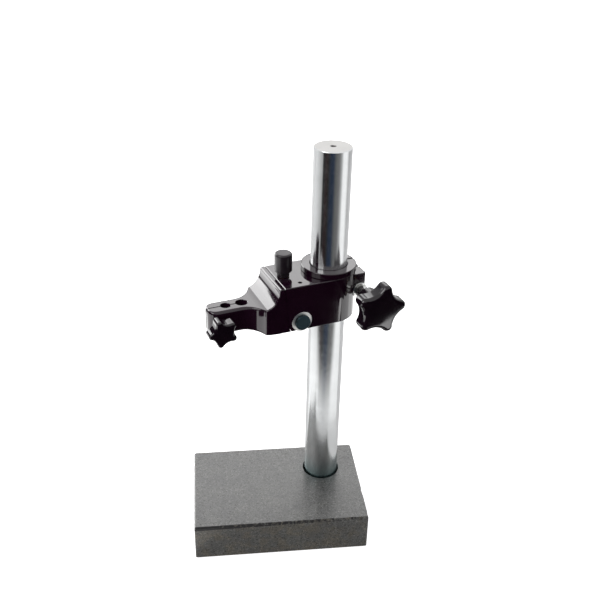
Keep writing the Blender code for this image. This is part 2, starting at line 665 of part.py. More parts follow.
def make_pivot(steel, bronze, parent, nose):
    """The pin through both cheeks, its clip and lock screw, and the tongue's bush."""
    floor = ARM_HALF_WIDTH - SPOTFACE_DEPTH + GAP
    crown = ARM_HALF_WIDTH + PIN_HEAD_PROUD
    groove_high = -ARM_HALF_WIDTH - GAP
    groove_low = groove_high - CLIP_THICKNESS - 2 * GAP
    tail = groove_low - PIN_TAIL + CLIP_THICKNESS
    groove = PIN_RADIUS - CLIP_GROOVE_DEPTH
    profile = [(0, tail), (PIN_RADIUS, tail), (PIN_RADIUS, groove_low), (groove, groove_low),
               (groove, groove_high), (PIN_RADIUS, groove_high), (PIN_RADIUS, floor),
               (PIN_HEAD_RADIUS, floor), (PIN_HEAD_RADIUS, crown - PIN_HEAD_CHAMFER),
               (PIN_HEAD_RADIUS - PIN_HEAD_CHAMFER, crown), (0, crown)]
    pin = moved(turned("pivot_pin", profile, ROUND_SIDES), sideways=True)
    complete(pin, steel, parent, (PIN_REACH, 0, PIN_HEIGHT))

    inner = groove + GAP
    outer = inner + CLIP_WIDTH
    mouth = CLIP_MOUTH_DEGREES / 2
    outline = arc(0, 0, outer, mouth, 360 - mouth, SMALL_SIDES)
    outline += arc(0, 0, inner, 360 - mouth, mouth, SMALL_SIDES)
    clip = moved(prism("pivot_pin_clip", outline, groove_low + GAP, groove_high - GAP), sideways=True)
    complete(clip, steel, parent, (PIN_REACH, 0, PIN_HEIGHT))

    tip = PIN_HEIGHT + PIN_RADIUS + GAP
    lock = rod("pin_lock_screw", PIN_LOCK_RADIUS, 0, PIN_LOCK_LENGTH, SMALL_SIDES)
    complete(lock, steel, parent, (PIN_REACH, lock_screw_side(), tip))

    bush = moved(pipe("pivot_bush", PIN_RADIUS + GAP, PIVOT_BUSH_RADIUS, -TONGUE_HALF_WIDTH,
                      TONGUE_HALF_WIDTH, SMALL_SIDES), sideways=True)
    complete(bush, bronze, nose)


def make_fine_adjustment(plastic, steel, bronze, arm, nose, axis):
    """The screw on its own axis empty with its knob, its bush in the bridge and the pad that it presses."""
    knob_low = GAP
    head_low = knob_low + FINE_NECK_HEIGHT
    head_top = head_low + FINE_HEAD_HEIGHT
    bore = FINE_SCREW_RADIUS + GAP
    screw_top = knob_low + FINE_SCREW_IN_KNOB
    head_round = arc(FINE_HEAD_RADIUS - FINE_HEAD_ROUND, head_top - FINE_HEAD_ROUND, FINE_HEAD_ROUND,
                     0, 90, ROUND_STEPS)
    profile = [(0, screw_top + GAP), (bore, screw_top + GAP), (bore, knob_low), (FINE_NECK_RADIUS, knob_low),
               (FINE_NECK_RADIUS, head_low), (FINE_HEAD_RADIUS, head_low), *head_round, (0, head_top)]
    complete(turned("fine_adjust_knob", profile, ROUND_SIDES), plastic, axis)

    tip = TONGUE_TOP + GAP - ARM_HEIGHT
    profile = [(0, tip), (FINE_SCREW_RADIUS - FINE_TIP_ROUND, tip),
               (FINE_SCREW_RADIUS, tip + FINE_TIP_ROUND), (FINE_SCREW_RADIUS, screw_top), (0, screw_top)]
    complete(turned("fine_adjust_screw", profile, SMALL_SIDES), steel, axis)

    bush = pipe("fine_adjust_bush", bore, FINE_BUSH_RADIUS, -FINE_BUSH_LENGTH, 0, SMALL_SIDES)
    complete(bush, bronze, arm, (FINE_REACH, 0, ARM_HEIGHT - GAP))

    pad = rod("screw_pad", PAD_RADIUS, -PAD_THICKNESS, 0, SMALL_SIDES)
    complete(pad, steel, nose, (FINE_LEVER, 0, TONGUE_TOP - PIN_HEIGHT))


def make_return_spring(steel, parent):
    """A helix between the tongue's seat and the bridge's bore, wound as one tube.

    The point at angle a is (r cos a, r sin a) at a height that grows evenly with a.
    """
    low = TONGUE_TOP - SPRING_SEAT_DEPTH + GAP + SPRING_WIRE_RADIUS
    high = SPRING_BORE_TOP - GAP - SPRING_WIRE_RADIUS
    steps = SPRING_TURNS * SPRING_POINTS_PER_TURN
    points = []
    for step in range(steps + 1):
        angle = math.tau * SPRING_TURNS * step / steps
        points.append((SPRING_RADIUS * math.cos(angle), SPRING_RADIUS * math.sin(angle),
                       (high - low) * step / steps))
    half_turn = SPRING_POINTS_PER_TURN // 2
    nearest = min(math.dist(points[one], points[other])
                  for one in range(len(points)) for other in range(one + half_turn, len(points)))
    print("least gap of the spring to itself, mm:", round((nearest - 2 * SPRING_WIRE_RADIUS) * 1000, 2))
    path = bpy.data.curves.new("return_spring", "CURVE")
    path.dimensions = "3D"
    path.bevel_depth = SPRING_WIRE_RADIUS
    path.bevel_resolution = 1
    path.use_fill_caps = True
    line = path.splines.new("POLY")
    line.points.add(len(points) - 1)
    for place, point in enumerate(points):
        line.points[place].co = (*point, 1)
    spring = bpy.data.objects.new("return_spring", path)
    bpy.context.collection.objects.link(spring)
    return complete(spring, steel, parent, (SPRING_REACH, 0, low))


def star_ring(tip, inset, height):
    """The star's outline drawn in by the inset, as points at one height.

    Each lobe is an arc about its own centre, and each valley an arc that touches both lobes beside it.
    Its centre lies where the distance to a lobe's centre is the sum of the two radii.
    """
    lobe = tip * LOBE_SHARE
    valley = tip * VALLEY_SHARE
    reach = tip - lobe
    half_step = math.pi / STAR_LOBES
    across = reach * math.sin(half_step)
    beyond = math.sqrt((lobe + valley) ** 2 - across ** 2)
    valley_reach = reach * math.cos(half_step) + beyond
    opening = math.degrees(math.atan2(across, beyond))
    turn = opening + math.degrees(half_step)
    points = []
    for count in range(STAR_LOBES):
        lobe_turn = Matrix.Rotation(2 * half_step * count, 2)
        valley_turn = Matrix.Rotation(2 * half_step * count + half_step, 2)
        for point in arc(reach, 0, lobe - inset, -turn, turn, STAR_STEPS):
            points.append(lobe_turn @ Vector(point))
        for point in arc(valley_reach, 0, valley + inset, 180 + opening, 180 - opening, STAR_STEPS)[1:-1]:
            points.append(valley_turn @ Vector(point))
    return [(point.x, point.y, height) for point in points]


def star_knob(name, tip, thickness, neck_radius, neck_length, bore, bore_depth):
    """A star knob about z: rounded star, round neck and a blind bore for its insert, from height 0 up."""
    front = tip * FRONT_ROUND_SHARE
    back = tip * BACK_ROUND_SHARE
    low = neck_length
    high = neck_length + thickness
    sections = [(back - inset, low + back - drop) for inset, drop in arc(0, 0, back, 90, 0, 2)]
    sections += [(front - inset, high - front + rise)
                 for inset, rise in arc(0, 0, front, 0, 90, ROUND_STEPS)]
    knob = solid(name, loft([star_ring(tip, inset, height) for inset, height in sections]))
    neck = rod("neck", neck_radius, 0, low + back * 2)
    combine(knob, [neck], "UNION")
    combine(knob, [rod("bore", bore, -OVERRUN, bore_depth, SMALL_SIDES)], "DIFFERENCE")
    return knob


def make_clamp(prefix, axis, plastic, bronze, steel, sizes):
    """A clamp on its axis empty: knob, threaded insert and shouldered stud, turning together.

    Heights run out from the middle of the split, where the axis empty stands.
    """
    knob_low = sizes["face"] + 2 * GAP + sizes["washer"] + sizes["shoulder_length"] + GAP
    insert_radius = sizes["stud"] + GAP + sizes["insert_wall"]
    knob = star_knob(prefix + "_knob", sizes["tip"], sizes["thickness"], sizes["neck"], sizes["neck_length"],
                     insert_radius + GAP, sizes["insert_length"] + GAP)
    complete(knob, plastic, axis, (0, 0, knob_low))
    knob.rotation_euler = (0, 0, math.radians(sizes["angle"] + 180))

    insert = pipe(prefix + "_insert", sizes["stud"] + GAP, insert_radius, 0, sizes["insert_length"],
                  SMALL_SIDES)
    complete(insert, bronze, axis, (0, 0, knob_low))

    end = knob_low + sizes["insert_length"] * STUD_IN_INSERT_SHARE
    start = -sizes["face"] + STUD_END_SETBACK
    profile = [(0, start), (sizes["stud"], start)]
    if sizes["shoulder_length"] > 0:
        shoulder_low = knob_low - GAP - sizes["shoulder_length"]
        profile += [(sizes["stud"], shoulder_low), (sizes["shoulder"], shoulder_low),
                    (sizes["shoulder"], knob_low - GAP), (sizes["stud"], knob_low - GAP)]
    profile += [(sizes["stud"], end), (0, end)]
    complete(turned(prefix + "_screw", profile, SMALL_SIDES), steel, axis)


def make_clamp_washer(name, steel, parent, sizes, place):
    """The washer between a clamp's knob and its casting."""
    low = sizes["face"] + GAP
    washer = moved(pipe(name, sizes["stud"] + GAP, sizes["washer_radius"], low, low + sizes["washer"],
                        SMALL_SIDES), sideways=True)
    complete(washer, steel, parent, place)


COLUMN_CLAMP = {
    "face": CLAMP_FACE, "tip": CLAMP_KNOB_TIP, "thickness": CLAMP_KNOB_THICKNESS,
    "angle": CLAMP_KNOB_ANGLE_DEGREES, "neck": CLAMP_NECK_RADIUS, "neck_length": CLAMP_NECK_LENGTH,
    "stud": CLAMP_STUD_RADIUS, "shoulder": CLAMP_SHOULDER_RADIUS, "shoulder_length": CLAMP_SHOULDER_LENGTH,
    "washer": CLAMP_WASHER_THICKNESS, "washer_radius": CLAMP_WASHER_RADIUS,
    "insert_wall": CLAMP_INSERT_WALL, "insert_length": CLAMP_INSERT_LENGTH}

STEM_CLAMP = {
    "face": NOSE_HALF_WIDTH, "tip": STEM_KNOB_TIP, "thickness": STEM_KNOB_THICKNESS,
    "angle": STEM_KNOB_ANGLE_DEGREES, "neck": STEM_NECK_RADIUS, "neck_length": STEM_NECK_LENGTH,
    "stud": STEM_STUD_RADIUS, "shoulder": STEM_SHOULDER_RADIUS, "shoulder_length": STEM_SHOULDER_LENGTH,
    "washer": STEM_WASHER_THICKNESS, "washer_radius": STEM_WASHER_RADIUS,
    "insert_wall": STEM_INSERT_WALL, "insert_length": STEM_INSERT_LENGTH}


def build_stand():
    """Make every piece and put it in its place."""
    clear_scene()
    make_granite_base(finish("granite", (0.24, 0.24, 0.23), 0.35))
    make_column(finish("column_chrome", (0.75, 0.75, 0.76), 0.08, 1.0))
    steel = finish("fixing_steel", (0.45, 0.45, 0.46), 0.35, 1.0)
    make_column_fixing(steel)

    arm = axis_empty("arm_axis", None, (COLUMN_X, COLUMN_Y, BASE_HEIGHT + ARM_RISE),
                     turn=math.radians(ARM_TURN_DEGREES))
    nose = axis_empty("nose_axis", arm, (PIN_REACH, 0, PIN_HEIGHT))
    fine = axis_empty("fine_axis", arm, (FINE_REACH, 0, ARM_HEIGHT))
    column_clamp = axis_empty("column_clamp_axis", arm, (-CLAMP_REACH, 0, CLAMP_HEIGHT), sideways=True)
    stem_place = (STEM_CLAMP_REACH - PIN_REACH, 0, STEM_CLAMP_HEIGHT - PIN_HEIGHT)
    stem_clamp = axis_empty("stem_clamp_axis", nose, stem_place, sideways=True)

    paint = finish("arm_paint", (0.02, 0.018, 0.022), 0.15)
    make_hub_bush(finish("bush_paint", (0.03, 0.028, 0.032), 0.2), arm)
    make_arm_body(paint, arm)
    make_nose_lever(paint, nose)

    pin_steel = finish("pin_steel", (0.12, 0.15, 0.15), 0.3, 1.0)
    bronze = finish("bronze", (0.55, 0.38, 0.2), 0.3, 1.0)
    make_pivot(pin_steel, bronze, arm, nose)
    knob_plastic = finish("knob_plastic", (0.015, 0.015, 0.016), 0.2)
    make_fine_adjustment(knob_plastic, steel, bronze, arm, nose, fine)
    make_return_spring(finish("spring_steel", (0.5, 0.5, 0.5), 0.3, 1.0), arm)

    make_clamp("column_clamp", column_clamp, knob_plastic, bronze, steel, COLUMN_CLAMP)
    make_clamp_washer("column_clamp_washer", steel, arm, COLUMN_CLAMP, (-CLAMP_REACH, 0, CLAMP_HEIGHT))
    make_clamp("stem_clamp", stem_clamp, knob_plastic, bronze, steel, STEM_CLAMP)
    make_clamp_washer("stem_clamp_washer", steel, nose, STEM_CLAMP, stem_place)


build_stand()
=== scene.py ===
# %% [markdown]
# # Granite comparator stand
# A stone base, a chromed column and a black arm that slides, swings and tilts its nose.
# The working model is loaded first. Every piece below is drawn in its frame, in metres, with +Z up,
# so a finer surface can stand where a plain working solid was.

# %% Load the working model
import json
import math

import bmesh
import bpy
import numpy as np
from mathutils import Matrix

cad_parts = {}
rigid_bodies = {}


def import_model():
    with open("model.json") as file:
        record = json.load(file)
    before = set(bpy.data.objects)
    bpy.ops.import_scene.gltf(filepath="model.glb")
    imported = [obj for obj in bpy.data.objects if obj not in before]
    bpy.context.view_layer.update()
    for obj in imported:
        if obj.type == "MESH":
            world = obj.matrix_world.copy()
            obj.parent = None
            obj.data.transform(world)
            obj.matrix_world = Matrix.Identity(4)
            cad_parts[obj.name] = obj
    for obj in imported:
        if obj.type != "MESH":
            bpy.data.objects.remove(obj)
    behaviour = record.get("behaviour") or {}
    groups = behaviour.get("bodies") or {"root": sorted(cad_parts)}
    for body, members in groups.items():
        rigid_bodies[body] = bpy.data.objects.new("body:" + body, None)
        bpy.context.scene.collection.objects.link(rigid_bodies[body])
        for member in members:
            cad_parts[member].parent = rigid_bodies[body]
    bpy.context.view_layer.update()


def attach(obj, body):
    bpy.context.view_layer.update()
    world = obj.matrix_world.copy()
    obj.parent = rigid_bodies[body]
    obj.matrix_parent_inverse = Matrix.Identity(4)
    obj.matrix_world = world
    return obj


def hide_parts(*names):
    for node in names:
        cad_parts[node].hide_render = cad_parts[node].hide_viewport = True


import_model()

# %% [markdown]
# ## Axes of the arm
# The arm points away from the column at an angle of its own, so its pieces are drawn along three
# axes that turn with it: u from the column to the nose, v sideways to the clamp knobs and w up from
# its underside. One matrix brings such points into the frame of the stand.

# %% Arm axes
BASE_SIZE = np.array([0.150, 0.100, 0.035])
COLUMN_RADIUS = 0.015
COLUMN_RISE = 0.310
COLUMN_PLACE = np.array([0.042, 0.0197, 0.0])
ARM_TURN = math.radians(197)
ARM_FOOT = BASE_SIZE[2] + 0.168
ARM_AXES = np.array([[math.cos(ARM_TURN), math.sin(ARM_TURN), 0],
                     [-math.sin(ARM_TURN), math.cos(ARM_TURN), 0],
                     [0, 0, 1]])


def on_arm(points):
    """Row frame place of points given along the arm: foot of the arm plus u, v and w steps."""
    return points @ ARM_AXES + COLUMN_PLACE + np.array([0, 0, ARM_FOOT])


def on_column(points):
    """Row frame place of points given round the column's axis, with heights from the bench."""
    return points + COLUMN_PLACE


print("nose points along", np.round(ARM_AXES[0], 3))

# %% [markdown]
# ## Surfaces from arrays
# A round or lofted piece is a stack of closed rings. With all ring points in one array, the faces
# follow from index arithmetic, so numpy makes thousands of them at once. Flat faces close the two
# ends, or the last ring joins the first where the piece has a bore.


# %% Rings to mesh
def ring_faces(rows, columns, bored):
    """Quads between neighbouring rings: each joins point j and j + 1 of two rings."""
    row = np.arange(rows if bored else rows - 1)[:, None]
    column = np.arange(columns)[None, :]
    after_row = (row + 1) % rows
    after_column = (column + 1) % columns
    corners = [row * columns + column, row * columns + after_column,
               after_row * columns + after_column, after_row * columns + column]
    return np.stack(corners, axis=-1).reshape(-1, 4)


def piece_from_rings(name, rings, bored=False):
    """A closed piece over an array of rings, shaped (rings, points, 3)."""
    rows, columns, _ = rings.shape
    faces = ring_faces(rows, columns, bored).tolist()
    if not bored:
        faces += [list(range(columns)), list(range((rows - 1) * columns, rows * columns))]
    mesh = bpy.data.meshes.new(name)
    mesh.from_pydata(rings.reshape(-1, 3).tolist(), [], faces)
    outward(mesh)
    piece = bpy.data.objects.new(name, mesh)
    bpy.context.scene.collection.objects.link(piece)
    return piece


def outward(mesh):
    """Turn all faces of a closed mesh outwards."""
    shape = bmesh.new()
    shape.from_mesh(mesh)
    bmesh.ops.recalc_face_normals(shape, faces=shape.faces)
    shape.to_mesh(mesh)
    shape.free()


def turned_rings(profile, sides):
    """Rings of a turned piece: (r cos a, r sin a, h) for each (r, h) of the profile."""
    angle = np.linspace(0, 2 * np.pi, sides, endpoint=False)
    profile = np.asarray(profile, float)
    radius = profile[:, :1]
    height = np.broadcast_to(profile[:, 1:], (len(profile), sides))
    return np.stack([radius * np.cos(angle), radius * np.sin(angle), height], axis=-1)


def sideways(points):
    """Lay a piece whose axis is z along +v: x stays u, z becomes v and y becomes -w."""
    return np.stack([points[..., 0], points[..., 2], -points[..., 1]], axis=-1)


def arc(a, b, radius, start, end, steps):
    """Arc points (a + r cos t, b + r sin t) with t from start to end in degrees."""
    turn = np.radians(np.linspace(start, end, steps + 1))
    return np.stack([a + radius * np.cos(turn), b + radius * np.sin(turn)], axis=-1)


# %% [markdown]
# ## Rounded profiles
# Real turned parts have no knife edges. A profile is written by its sharp corners with a small
# radius for each, and every corner is replaced by a short arc that touches both of its lines.


# %% Round the corners of a profile
def rounded(corners, steps=4):
    """Profile through (a, b, radius) corners, each cut back and bridged by a quadratic arc.

    At a corner the point moves from P - r d1 to P + r d2 by (1-t)^2, 2t(1-t) and t^2 weights.
    """
    corners = np.asarray(corners, float)
    places, radii = corners[:, :2], corners[:, 2]
    made = [places[:1]]
    t = np.linspace(0, 1, steps + 1)[:, None]
    for before, here, after, radius in zip(places, places[1:], places[2:], radii[1:]):
        back = (before - here) / np.linalg.norm(before - here)
        ahead = (after - here) / np.linalg.norm(after - here)
        start, end = here + radius * back, here + radius * ahead
        bend = (1 - t) ** 2 * start + 2 * t * (1 - t) * here + t ** 2 * end
        made.append(bend if radius > 0 else here[None])
    made.append(places[-1:])
    return np.concatenate(made)


def rounded_loop(corners, steps=4):
    """The same for a closed profile: the first corner is rounded too."""
    corners = list(corners)
    return rounded([corners[-1], *corners, corners[0]], steps)[1:-1]


# %% [markdown]
# ## Carving and smooth shading
# Bores, slits and pockets are cut with exact booleans by tool bodies that are removed again.
# Shading is smooth except over sharp edges, and weighted normals keep broad flat faces flat, which
# matters on gloss paint because it mirrors the room.


# %% Carve, shade and place
def settle(piece):
    """Keep the mesh with its modifiers applied."""
    bpy.context.view_layer.update()
    evaluated = piece.evaluated_get(bpy.context.evaluated_depsgraph_get())
    made = bpy.data.meshes.new_from_object(evaluated)
    piece.modifiers.clear()
    piece.data = made


def carve(piece, tools, operation="DIFFERENCE"):
    """Cut the piece by each tool body, or join or keep what is common, and clear the tools away."""
    for tool in tools:
        step = piece.modifiers.new("carve", "BOOLEAN")
        step.operation = operation
        step.object = tool
    settle(piece)
    for tool in tools:
        bpy.data.objects.remove(tool)
    return piece


def shade(piece, angle=32):
    """Smooth shading with sharp edges past an angle, and normals weighted by face area."""
    piece.data.shade_smooth()
    piece.data.set_sharp_from_angle(angle=math.radians(angle))
    weigh = piece.modifiers.new("weigh", "WEIGHTED_NORMAL")
    weigh.keep_sharp = True
    weigh.weight = 100
    settle(piece)
    return piece


def dressed(piece, material, body, nodes):
    """Give a finished piece its material, its body and the working nodes that it stands for."""
    piece.data.materials.clear()
    piece.data.materials.append(material)
    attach(piece, body)
    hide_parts(*nodes)
    print(piece.name, "faces", len(piece.data.polygons))
    return piece


# %% [markdown]
# ## Granite
# The stone is a mottled grey: pale feldspar, mid grey quartz and black mica grains of a few tenths
# of a millimetre to two millimetres. Cells of a Voronoi pattern are such grains, because each has
# its own random shade. Three sizes are laid over each other, and slow noise makes the tone drift.


# %% Node helpers and the granite finish
def new_finish(name):
    """An empty node material and its Principled shader."""
    made = bpy.data.materials.new(name)
    made.use_nodes = True
    return made, made.node_tree, made.node_tree.nodes["Principled BSDF"]


def add_node(tree, kind, **sockets):
    """A node with its input sockets set by name, or linked where a socket is given."""
    node = tree.nodes.new(kind)
    for name, value in sockets.items():
        socket = node.inputs[name.replace("_", " ")]
        if isinstance(value, bpy.types.NodeSocket):
            tree.links.new(value, socket)
        else:
            socket.default_value = value
    return node


def object_point(tree):
    """The place on the piece, in metres."""
    return tree.nodes.new("ShaderNodeTexCoord").outputs["Object"]


def noise(tree, point, scale, detail=3.0, roughness=0.5):
    """Value of a noise field at a scale in cells per metre."""
    node = add_node(tree, "ShaderNodeTexNoise", Vector=point, Scale=scale, Detail=detail, Roughness=roughness)
    return node.outputs["Fac"]


def grains(tree, point, scale, randomness=1.0):
    """A random value for each Voronoi grain."""
    node = add_node(tree, "ShaderNodeTexVoronoi", Vector=point, Scale=scale, Randomness=randomness)
    split = add_node(tree, "ShaderNodeSeparateColor", Color=node.outputs["Color"])
    return split.outputs["Red"]


def ramp(tree, value, stops):
    """A colour ramp through (place, grey or colour) stops."""
    node = add_node(tree, "ShaderNodeValToRGB", Fac=value)
    elements = node.color_ramp.elements
    while len(elements) < len(stops):
        elements.new(0.5)
    for element, (place, colour) in zip(elements, stops):
        element.position = place
        element.color = (*colour, 1.0) if isinstance(colour, tuple) else (colour, colour, colour, 1.0)
    return node.outputs["Color"]


def blend(tree, factor, first, second, mode="MIX"):
    """Mix two colours, each a socket or a value, by a factor."""
    node = tree.nodes.new("ShaderNodeMix")
    node.data_type = "RGBA"
    node.blend_type = mode
    for socket, value in ((node.inputs[0], factor), (node.inputs[6], first), (node.inputs[7], second)):
        if isinstance(value, bpy.types.NodeSocket):
            tree.links.new(value, socket)
        else:
            socket.default_value = value
    return node.outputs[2]


def span(tree, value, low, high, new_low, new_high):
    """Map a value's range onto another, held at both ends."""
    node = add_node(tree, "ShaderNodeMapRange", Value=value)
    for place, limit in enumerate((low, high, new_low, new_high), start=1):
        node.inputs[place].default_value = limit
    return node.outputs["Result"]


def maths(tree, operation, first, second=0.0):
    """One arithmetic step on two values."""
    node = tree.nodes.new("ShaderNodeMath")
    node.operation = operation
    for socket, value in zip(node.inputs, (first, second)):
        if isinstance(value, bpy.types.NodeSocket):
            tree.links.new(value, socket)
        else:
            socket.default_value = value
    return node.outputs[0]


def relief(tree, shader, height, strength, distance):
    """Bump the surface by a height field. The distance is in metres."""
    node = add_node(tree, "ShaderNodeBump", Strength=strength, Distance=distance, Height=height)
    tree.links.new(node.outputs["Normal"], shader.inputs["Normal"])
    return node


def granite_finish():
    """Speckled stone: three sizes of grain, drifting tone, a ragged near black band along the top front edge and a
    painted contact shadow along the bottom.
    """
    made, tree, shader = new_finish("granite_speckle")
    point = object_point(tree)
    warp = add_node(tree, "ShaderNodeTexNoise", Vector=point, Scale=900.0, Detail=2.0)
    bent = tree.nodes.new("ShaderNodeVectorMath")
    bent.operation = "MULTIPLY_ADD"
    tree.links.new(warp.outputs["Color"], bent.inputs[0])
    bent.inputs[1].default_value = (0.0005, 0.0005, 0.0005)
    tree.links.new(point, bent.inputs[2])
    field = bent.outputs[0]
    coarse = ramp(tree, grains(tree, field, 620.0), [(0.0, 0.075), (0.45, 0.105), (0.72, 0.126), (1.0, 0.17)])
    fine = ramp(tree, grains(tree, field, 1700.0), [(0.0, 0.058), (0.35, 0.102), (0.75, 0.126), (1.0, 0.20)])
    colour = blend(tree, 0.5, coarse, fine)
    mica = ramp(tree, grains(tree, field, 1100.0), [(0.0, 0.75), (0.08, 0.75), (0.12, 0.0)])
    colour = blend(tree, mica, colour, (0.036, 0.034, 0.032, 1.0))
    pale = ramp(tree, grains(tree, field, 1350.0), [(0.0, 0.0), (0.93, 0.0), (0.96, 0.6)])
    colour = blend(tree, pale, colour, (0.30, 0.30, 0.285, 1.0))
    drift = ramp(tree, noise(tree, point, 55.0, 5.0),
                 [(0.35, (0.90, 0.90, 0.89)), (0.65, (1.08, 1.08, 1.04))])
    colour = blend(tree, 1.0, colour, drift, "MULTIPLY")
    split = add_node(tree, "ShaderNodeSeparateXYZ", Vector=point)
    x, y, z = split.outputs["X"], split.outputs["Y"], split.outputs["Z"]
    front = span(tree, y, -BASE_SIZE[1] / 2 + 0.0008, -BASE_SIZE[1] / 2 + 0.0016, 1.0, 0.0)
    rust = maths(tree, "MULTIPLY", front, span(tree, noise(tree, point, 130.0, 4.0), 0.42, 0.62, 0.1, 1.0))
    colour = blend(tree, rust, colour, blend(tree, 1.0, colour, (1.22, 1.10, 0.92, 1.0), "MULTIPLY"))
    # A ragged band along the top front edge is coloured near black and made rougher. It is strongest at the left end.
    sunk = maths(tree, "ADD", z, span(tree, x, -0.075, 0.02, 0.0010, 0.0))
    rim = maths(tree, "MULTIPLY", span(tree, sunk, BASE_SIZE[2] - 0.0027, BASE_SIZE[2] - 0.0023, 0.0, 1.0),
                span(tree, y, -BASE_SIZE[1] / 2 + 0.0013, -BASE_SIZE[1] / 2 + 0.0017, 1.0, 0.0))
    ragged = maths(tree, "ADD", noise(tree, point, 300.0, 5.0, 0.75),
                   span(tree, x, -0.075, 0.075, 0.12, -0.06))
    dark_front_edge = maths(tree, "MULTIPLY", rim, span(tree, ragged, 0.47, 0.51, 0.0, 1.0))
    # Painted contact shadow: the lowest millimetre of the block is darkened towards near black, in the same colour as
    # the edge band.
    foot = span(tree, z, 0.0005, 0.0011, 0.7, 0.0)
    colour = blend(tree, maths(tree, "MAXIMUM", dark_front_edge, foot), colour, (0.008, 0.007, 0.007, 1.0))
    tree.links.new(colour, shader.inputs["Base Color"])
    rough = span(tree, grains(tree, field, 950.0), 0.0, 1.0, 0.26, 0.40)
    tree.links.new(maths(tree, "ADD", rough, maths(tree, "MULTIPLY", dark_front_edge, 0.4)), shader.inputs["Roughness"])
    shader.inputs["Coat Weight"].default_value = 0.30
    shader.inputs["Coat Roughness"].default_value = 0.16
    relief(tree, shader, noise(tree, field, 1300.0, 4.0, 0.6), 0.15, 0.0001)
    return made


GRANITE = granite_finish()
print("granite nodes:", len(GRANITE.node_tree.nodes))

# %% [markdown]
# ## The stone base
# The block is a stack of rounded rectangles: full size over most of its height, drawn in over a
# narrow chamfer at the top and bottom. Real granite edges are ground by hand and chip, so the
# chamfer's rings move in and out by a little noise. The column's seat is bored into the top.

# %% Stone base
CHAMFER = 0.0011
SEAT_RADIUS = COLUMN_RADIUS + 0.0012
SEAT_DEPTH = 0.012


def rounded_rectangle(length, depth, corner, per_side, per_corner):
    """Outline points of a rectangle with round corners, counter-clockwise, densely set."""
    half_length, half_depth = length / 2 - corner, depth / 2 - corner
    quarters = [arc(sx * half_length, sy * half_depth, corner, start, start + 90, per_corner)
                for sx, sy, start in ((1, 1, 0), (-1, 1, 90), (-1, -1, 180), (1, -1, 270))]
    outline = []
    share = np.linspace(0, 1, per_side, endpoint=False)[1:, None]
    for quarter, following in zip(quarters, quarters[1:] + quarters[:1]):
        outline += [quarter, quarter[-1] + share * (following[0] - quarter[-1])]
    return np.concatenate(outline)


def ripple(points, scale, seed):
    """Smooth repeatable noise from four sums of sines with random directions and phases."""
    generator = np.random.default_rng(seed)
    waves = generator.normal(size=(14, 3)) * scale
    phases = generator.uniform(0, 2 * np.pi, 14)
    return np.sin(points @ waves.T + phases).mean(axis=-1)


def make_base():
    """The block's rings from bottom to top, with chipped chamfers, its seat and its bolt hole."""
    levels = np.array([(0, CHAMFER), (CHAMFER * 0.5, CHAMFER * 0.45), (CHAMFER, 0.0),
                       (0.008, 0.0), (0.017, 0.0), (0.026, 0.0),
                       (BASE_SIZE[2] - CHAMFER * 1.15, 0.0), (BASE_SIZE[2] - CHAMFER * 0.55, CHAMFER * 0.45),
                       (BASE_SIZE[2], CHAMFER)])
    rings = []
    for height, inset in levels:
        outline = rounded_rectangle(BASE_SIZE[0] - 2 * inset, BASE_SIZE[1] - 2 * inset,
                                    0.0012, 150, 5)
        rings.append(np.column_stack([outline, np.full(len(outline), height)]))
    rings = np.stack(rings)
    chip = np.clip(ripple(rings, 900.0, 3) - 0.12, 0, 1) * 0.0022
    chip *= (rings[..., 2] > BASE_SIZE[2] / 2)
    weight = np.zeros(len(levels))
    weight[[-2, -3]] = (1.0, 0.55)
    outward_xy = rings[..., :2] / np.linalg.norm(rings[..., :2], axis=-1, keepdims=True)
    rings[..., :2] -= outward_xy * (chip * weight[:, None])[..., None]
    base = piece_from_rings("stone_block", rings)
    seat_profile = rounded([(0.001, BASE_SIZE[2] - SEAT_DEPTH, 0), (SEAT_RADIUS, BASE_SIZE[2] - SEAT_DEPTH, 0),
                            (SEAT_RADIUS, BASE_SIZE[2] - 0.0004, 0), (SEAT_RADIUS + 0.0012, BASE_SIZE[2] + 0.0008, 0),
                            (0.001, BASE_SIZE[2] + 0.0008, 0)])
    seat = piece_from_rings("seat", on_column(turned_rings(seat_profile, 128)))
    hole = piece_from_rings("hole", on_column(turned_rings([(0.0068, -0.002), (0.0068, 0.030)], 64)))
    counterbore = piece_from_rings("counterbore", on_column(turned_rings(
        [(0.0145, -0.002), (0.0145, 0.0), (0.0135, 0.001), (0.0135, 0.012)], 96)))
    carve(base, [seat, hole, counterbore])
    return dressed(shade(base, 25), GRANITE, "base", ["granite_base"])


stone = make_base()

# %% [markdown]
# ## Chrome column
# The column is a ground and chromed bar. A mirror shows only what stands round it, so its look comes
# from the room. The finish keeps a trace of the grinding: faint hoops, far finer than a millimetre,
# that draw each reflection out a little along the bar.
# Only the dark teal near its foot is painted: a painted reflection of the stone in the base colour.


# %% Chrome and turned steel finishes
def metal_finish(name, colour, low, high, hoops, depth, grime=0.25):
    """Bare metal: a base tone with faint stains, roughness between two values and tool hoops along z."""
    made, tree, shader = new_finish(name)
    point = object_point(tree)
    dark = tuple(part * 0.78 for part in colour)
    stain = noise(tree, point, 60.0, 4.0, 0.6)
    tone = ramp(tree, stain, [(0.35, dark), (0.6, colour)])
    tone = blend(tree, grime, (*colour, 1.0), tone)
    tree.links.new(tone, shader.inputs["Base Color"])
    rough = span(tree, noise(tree, point, 240.0, 4.0), 0.3, 0.7, low, high)
    tree.links.new(rough, shader.inputs["Roughness"])
    shader.inputs["Metallic"].default_value = 1.0
    stretch = add_node(tree, "ShaderNodeMapping", Vector=point)
    stretch.inputs["Scale"].default_value = hoops
    relief(tree, shader, noise(tree, stretch.outputs["Vector"], 1.0, 2.0), 0.35, depth)
    return made


